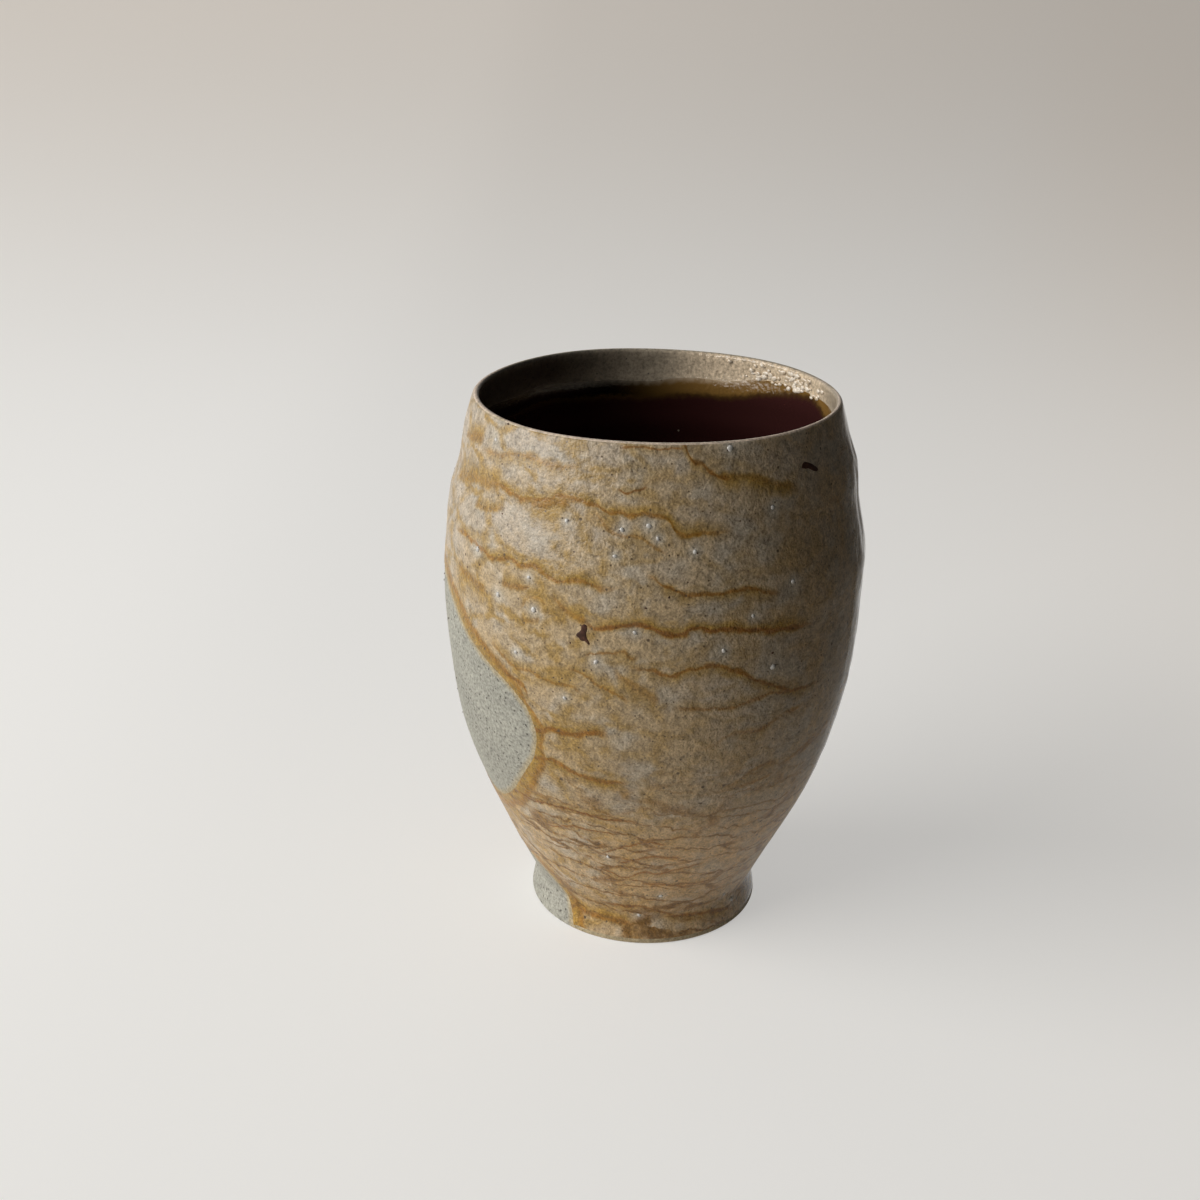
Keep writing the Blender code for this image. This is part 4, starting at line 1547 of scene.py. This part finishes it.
class TUMBLER_OT_set_iron(Operator):
    """Sets the iron spots and specks into the ash"""

    bl_idname = "tumbler.set_iron"
    bl_label = "Set Iron"

    def press_flake(self, outline):
        """Low flake on the wall: a ball drawn out to an outline that is given in pixels."""
        places = np.array([wall_place(pixel) for pixel in outline])
        middle = places.mean(axis=0)
        around = smooth_loop(places - middle, 6)
        around[:, 0] *= outer_radius(middle[1])
        angles = np.arctan2(around[:, 1], around[:, 0])
        order = np.argsort(angles)
        select_only()
        bpy.ops.mesh.primitive_uv_sphere_add(segments=40, ring_count=8, radius=1.0, location=(0.0, 0.0, 0.0))
        flake = bpy.context.object
        for point in flake.data.vertices:
            across = np.hypot(point.co.x, point.co.y)
            reach = np.interp(atan2(point.co.y, point.co.x), angles[order],
                              np.hypot(around[:, 0], around[:, 1])[order], period=2 * pi)
            out = across ** 0.7 * reach / max(across, MERGE_DISTANCE)
            turn = middle[0] + out * point.co.x / outer_radius(middle[1])
            point.co = on_wall(turn, middle[1] + out * point.co.y, FLAKE_RISE * point.co.z - FLAKE_SUNK)
        return flake

    def execute(self, context):
        chance = random.Random(SEED + 4)
        matrices = []
        for turn, z, size in speck_places():
            flat = dab(turn, z, SPECK_RADIUS * size, SPECK_RISE, -SPECK_SUNK)
            matrices.append(lain(flat, chance, 0.6))
        specks = scatter("iron_spots", pebble(9), matrices)
        select_only(specks, *[self.press_flake(outline) for outline in FRONT_FLAKES])
        bpy.ops.object.join()
        dress(specks, iron_finish("iron"), None)
        return {"FINISHED"}


class TUMBLER_OT_set_stage(Operator):
    """Lays the pale floor and backdrop, hangs the lamps and sets up the camera"""

    bl_idname = "tumbler.set_stage"
    bl_label = "Set Stage"

    def floor_finish(self):
        """Plain pale surface that throws less light back than it shows, with painted shade: it dims with
        distance and to the right, shows darker near the window, and its reflections dim to the right.
        """
        paint = colours()
        made = Finish("stage_paper")
        path = made.add("ShaderNodeLightPath").outputs
        seen = made.most(path["Is Camera Ray"], path["Is Glossy Ray"], path["Is Transmission Ray"])
        x, y, _ = made.split(made.place)
        away = made.times(made.ease(y, -0.15, 1.25, 1.04, 0.70), made.ease(x, -0.25, 0.6, 1.12, 0.94),
                          made.ease(x, -0.19, -0.08, 1.08, 1.0))
        # Painted shade in reflections: glossy rays see the floor much darker to the right.
        aside = made.math("MULTIPLY_ADD", y, -0.30, x)
        reflection_shade_right = made.ease(aside, 0.0, 0.18, 1.0, made.ease(path["Is Glossy Ray"], 0.0, 1.0, 1.0, 0.14))
        light = bpy.context.scene.tumbler_light
        glow = made.times(away, reflection_shade_right, light.glow)
        back = made.ease(made.math("MULTIPLY_ADD", y, -0.12, x), -0.30, 0.05, 1.0, 0.0)
        back = made.times(back, made.ease(y, 0.3, 1.5), light.behind)
        warm = made.most(made.ease(x, 0.0, 0.45), made.ease(y, 0.2, 1.6))
        made.fill(made.shader, Emission_Strength=made.ease(seen, 0.0, 1.0, back, glow),
                  Emission_Color=made.mix(warm, (1.0, 0.99, 0.965), (1.0, 0.925, 0.84)))
        made.fill(made.shader, Specular_IOR_Level=0.0)
        bounce = made.mix(made.ease(x, -0.10, -0.01), paint.floor_bounce, paint.floor_front)
        bounce = made.mix(made.ease(x, 0.035, 0.13), bounce, paint.floor_shade)
        shown = made.mix(warm, paint.floor, paint.floor_far)
        # Painted shade: the floor is shown darker near the window, where the lamp lights it most.
        under_window = made.add("ShaderNodeVectorMath", operation="DISTANCE")
        made.put(under_window.inputs[0], made.place)
        made.put(under_window.inputs[1], (WINDOW_PLACE[0], WINDOW_PLACE[1], 0.0))
        painted_shade_near_window = made.ease(under_window.outputs["Value"], 0.3, 1.5, 0.3, 1.0)
        shown = made.shaded(shown, made.times(reflection_shade_right, painted_shade_near_window))
        return made.finish(made.mix(seen, bounce, shown), 0.9)

    def lay_floor(self):
        """Floor that rises at the back in one sweep."""
        select_only()
        bpy.ops.mesh.primitive_plane_add(size=FLOOR_WIDTH, location=(0.0, SWEEP_START - FLOOR_WIDTH / 2, 0.0))
        paper = bpy.context.object
        paper.name = "stage_floor"
        bpy.ops.object.transform_apply(location=True, rotation=False, scale=False)
        edit("DESELECT")
        mesh = bmesh.from_edit_mesh(paper.data)
        for edge in mesh.edges:
            if all(point.co.y > SWEEP_START - MM for point in edge.verts):
                edge.select_set(True)
        bmesh.update_edit_mesh(paper.data)
        bpy.ops.mesh.spin(steps=48, angle=-pi / 2, center=(0.0, SWEEP_START, SWEEP_RADIUS),
                          axis=(1.0, 0.0, 0.0))
        bpy.ops.mesh.select_all(action="SELECT")
        bpy.ops.mesh.remove_doubles(threshold=0.0001)
        bpy.ops.mesh.normals_make_consistent(inside=False)
        bpy.ops.object.mode_set(mode="OBJECT")
        bpy.ops.object.shade_smooth()
        paper.data.materials.append(self.floor_finish())

    def make_room(self):
        """Dim room that looks pale past the floor's edge."""
        light = bpy.context.scene.tumbler_light
        world = bpy.data.worlds.new("room")
        world.use_nodes = True
        made = Nodes(world.node_tree)
        path = made.add("ShaderNodeLightPath").outputs
        mirrored = made.most(path["Is Glossy Ray"], path["Is Transmission Ray"])
        strength = made.ease(mirrored, 0.0, 1.0, light.room, light.mirrored)
        background = world.node_tree.nodes["Background"]
        background.inputs["Color"].default_value = (1.0, 0.95, 0.89, 1.0)
        made.fill(background, Strength=made.ease(path["Is Camera Ray"], 0.0, 1.0, strength, light.wall))
        return world

    def hang_lamp(self, name, place, aim, sides, strength):
        """Flat soft lamp of two sides, aimed at a point."""
        bpy.ops.object.light_add(type="AREA", location=place)
        lamp = bpy.context.object
        lamp.name = name
        lamp.data.shape = "RECTANGLE"
        lamp.data.size, lamp.data.size_y = sides
        lamp.data.energy = strength
        lamp.rotation_euler = (Vector(aim) - Vector(place)).to_track_quat("-Z", "Y").to_euler()
        return lamp

    def set_camera(self):
        """Camera that sees the tumbler as the photograph does."""
        right, up, forward = camera_axes()
        bpy.ops.object.camera_add(location=CAMERA_PLACE)
        camera = bpy.context.object
        camera.name = "photo_camera"
        camera.data.sensor_width = SENSOR_WIDTH
        camera.data.lens = FOCAL_PIXELS * SENSOR_WIDTH / IMAGE_SIZE
        camera.data.clip_start = 0.01
        axes = Matrix((Vector(right), Vector(up), Vector(-forward))).transposed()
        camera.matrix_world = Matrix.Translation(CAMERA_PLACE) @ axes.to_4x4()
        bpy.context.scene.camera = camera

    def execute(self, context):
        light = context.scene.tumbler_light
        self.lay_floor()
        window = self.hang_lamp("window", WINDOW_PLACE, WINDOW_AIM, WINDOW_SIZE, light.key)
        window.data.color = (1.0, 0.99, 0.97)
        self.hang_lamp("overhead", OVERHEAD_PLACE, OVERHEAD_AIM, OVERHEAD_SIZE, light.top)
        context.scene.world = self.make_room()
        self.set_camera()
        context.scene.view_settings.view_transform = "Standard"
        return {"FINISHED"}


class TUMBLER_PT_pieces(Panel):
    """Lists the steps in which the tumbler is made"""

    bl_idname = "TUMBLER_PT_pieces"
    bl_label = "Beer Tumbler"
    bl_space_type = "VIEW_3D"
    bl_region_type = "UI"
    bl_category = "Tumbler"

    def draw(self, context):
        for step in STEPS:
            self.layout.operator(step.bl_idname)
        for group in (context.scene.tumbler_form, context.scene.tumbler_colours, context.scene.tumbler_light):
            box = self.layout.box()
            for name in group.__annotations__:
                box.prop(group, name)


STEPS = (
    TUMBLER_OT_throw_body,
    TUMBLER_OT_turn_foot,
    TUMBLER_OT_pour_liner,
    TUMBLER_OT_lay_ash,
    TUMBLER_OT_set_stones,
    TUMBLER_OT_set_drops,
    TUMBLER_OT_set_iron,
    TUMBLER_OT_set_stage,
)
CLASSES = (TumblerForm, TumblerColours, TumblerLight, *STEPS, TUMBLER_PT_pieces)


def register():
    for made in CLASSES:
        bpy.utils.register_class(made)
    bpy.types.Scene.tumbler_form = PointerProperty(type=TumblerForm)
    bpy.types.Scene.tumbler_colours = PointerProperty(type=TumblerColours)
    bpy.types.Scene.tumbler_light = PointerProperty(type=TumblerLight)


def unregister():
    del bpy.types.Scene.tumbler_light
    del bpy.types.Scene.tumbler_colours
    del bpy.types.Scene.tumbler_form
    for made in reversed(CLASSES):
        bpy.utils.unregister_class(made)


def main():
    register()
    bpy.ops.tumbler.throw_body()
    bpy.ops.tumbler.turn_foot()
    bpy.ops.tumbler.pour_liner()
    bpy.ops.tumbler.lay_ash()
    bpy.ops.tumbler.set_stones()
    bpy.ops.tumbler.set_drops()
    bpy.ops.tumbler.set_iron()
    bpy.ops.tumbler.set_stage()


if __name__ == "__main__":
    main()
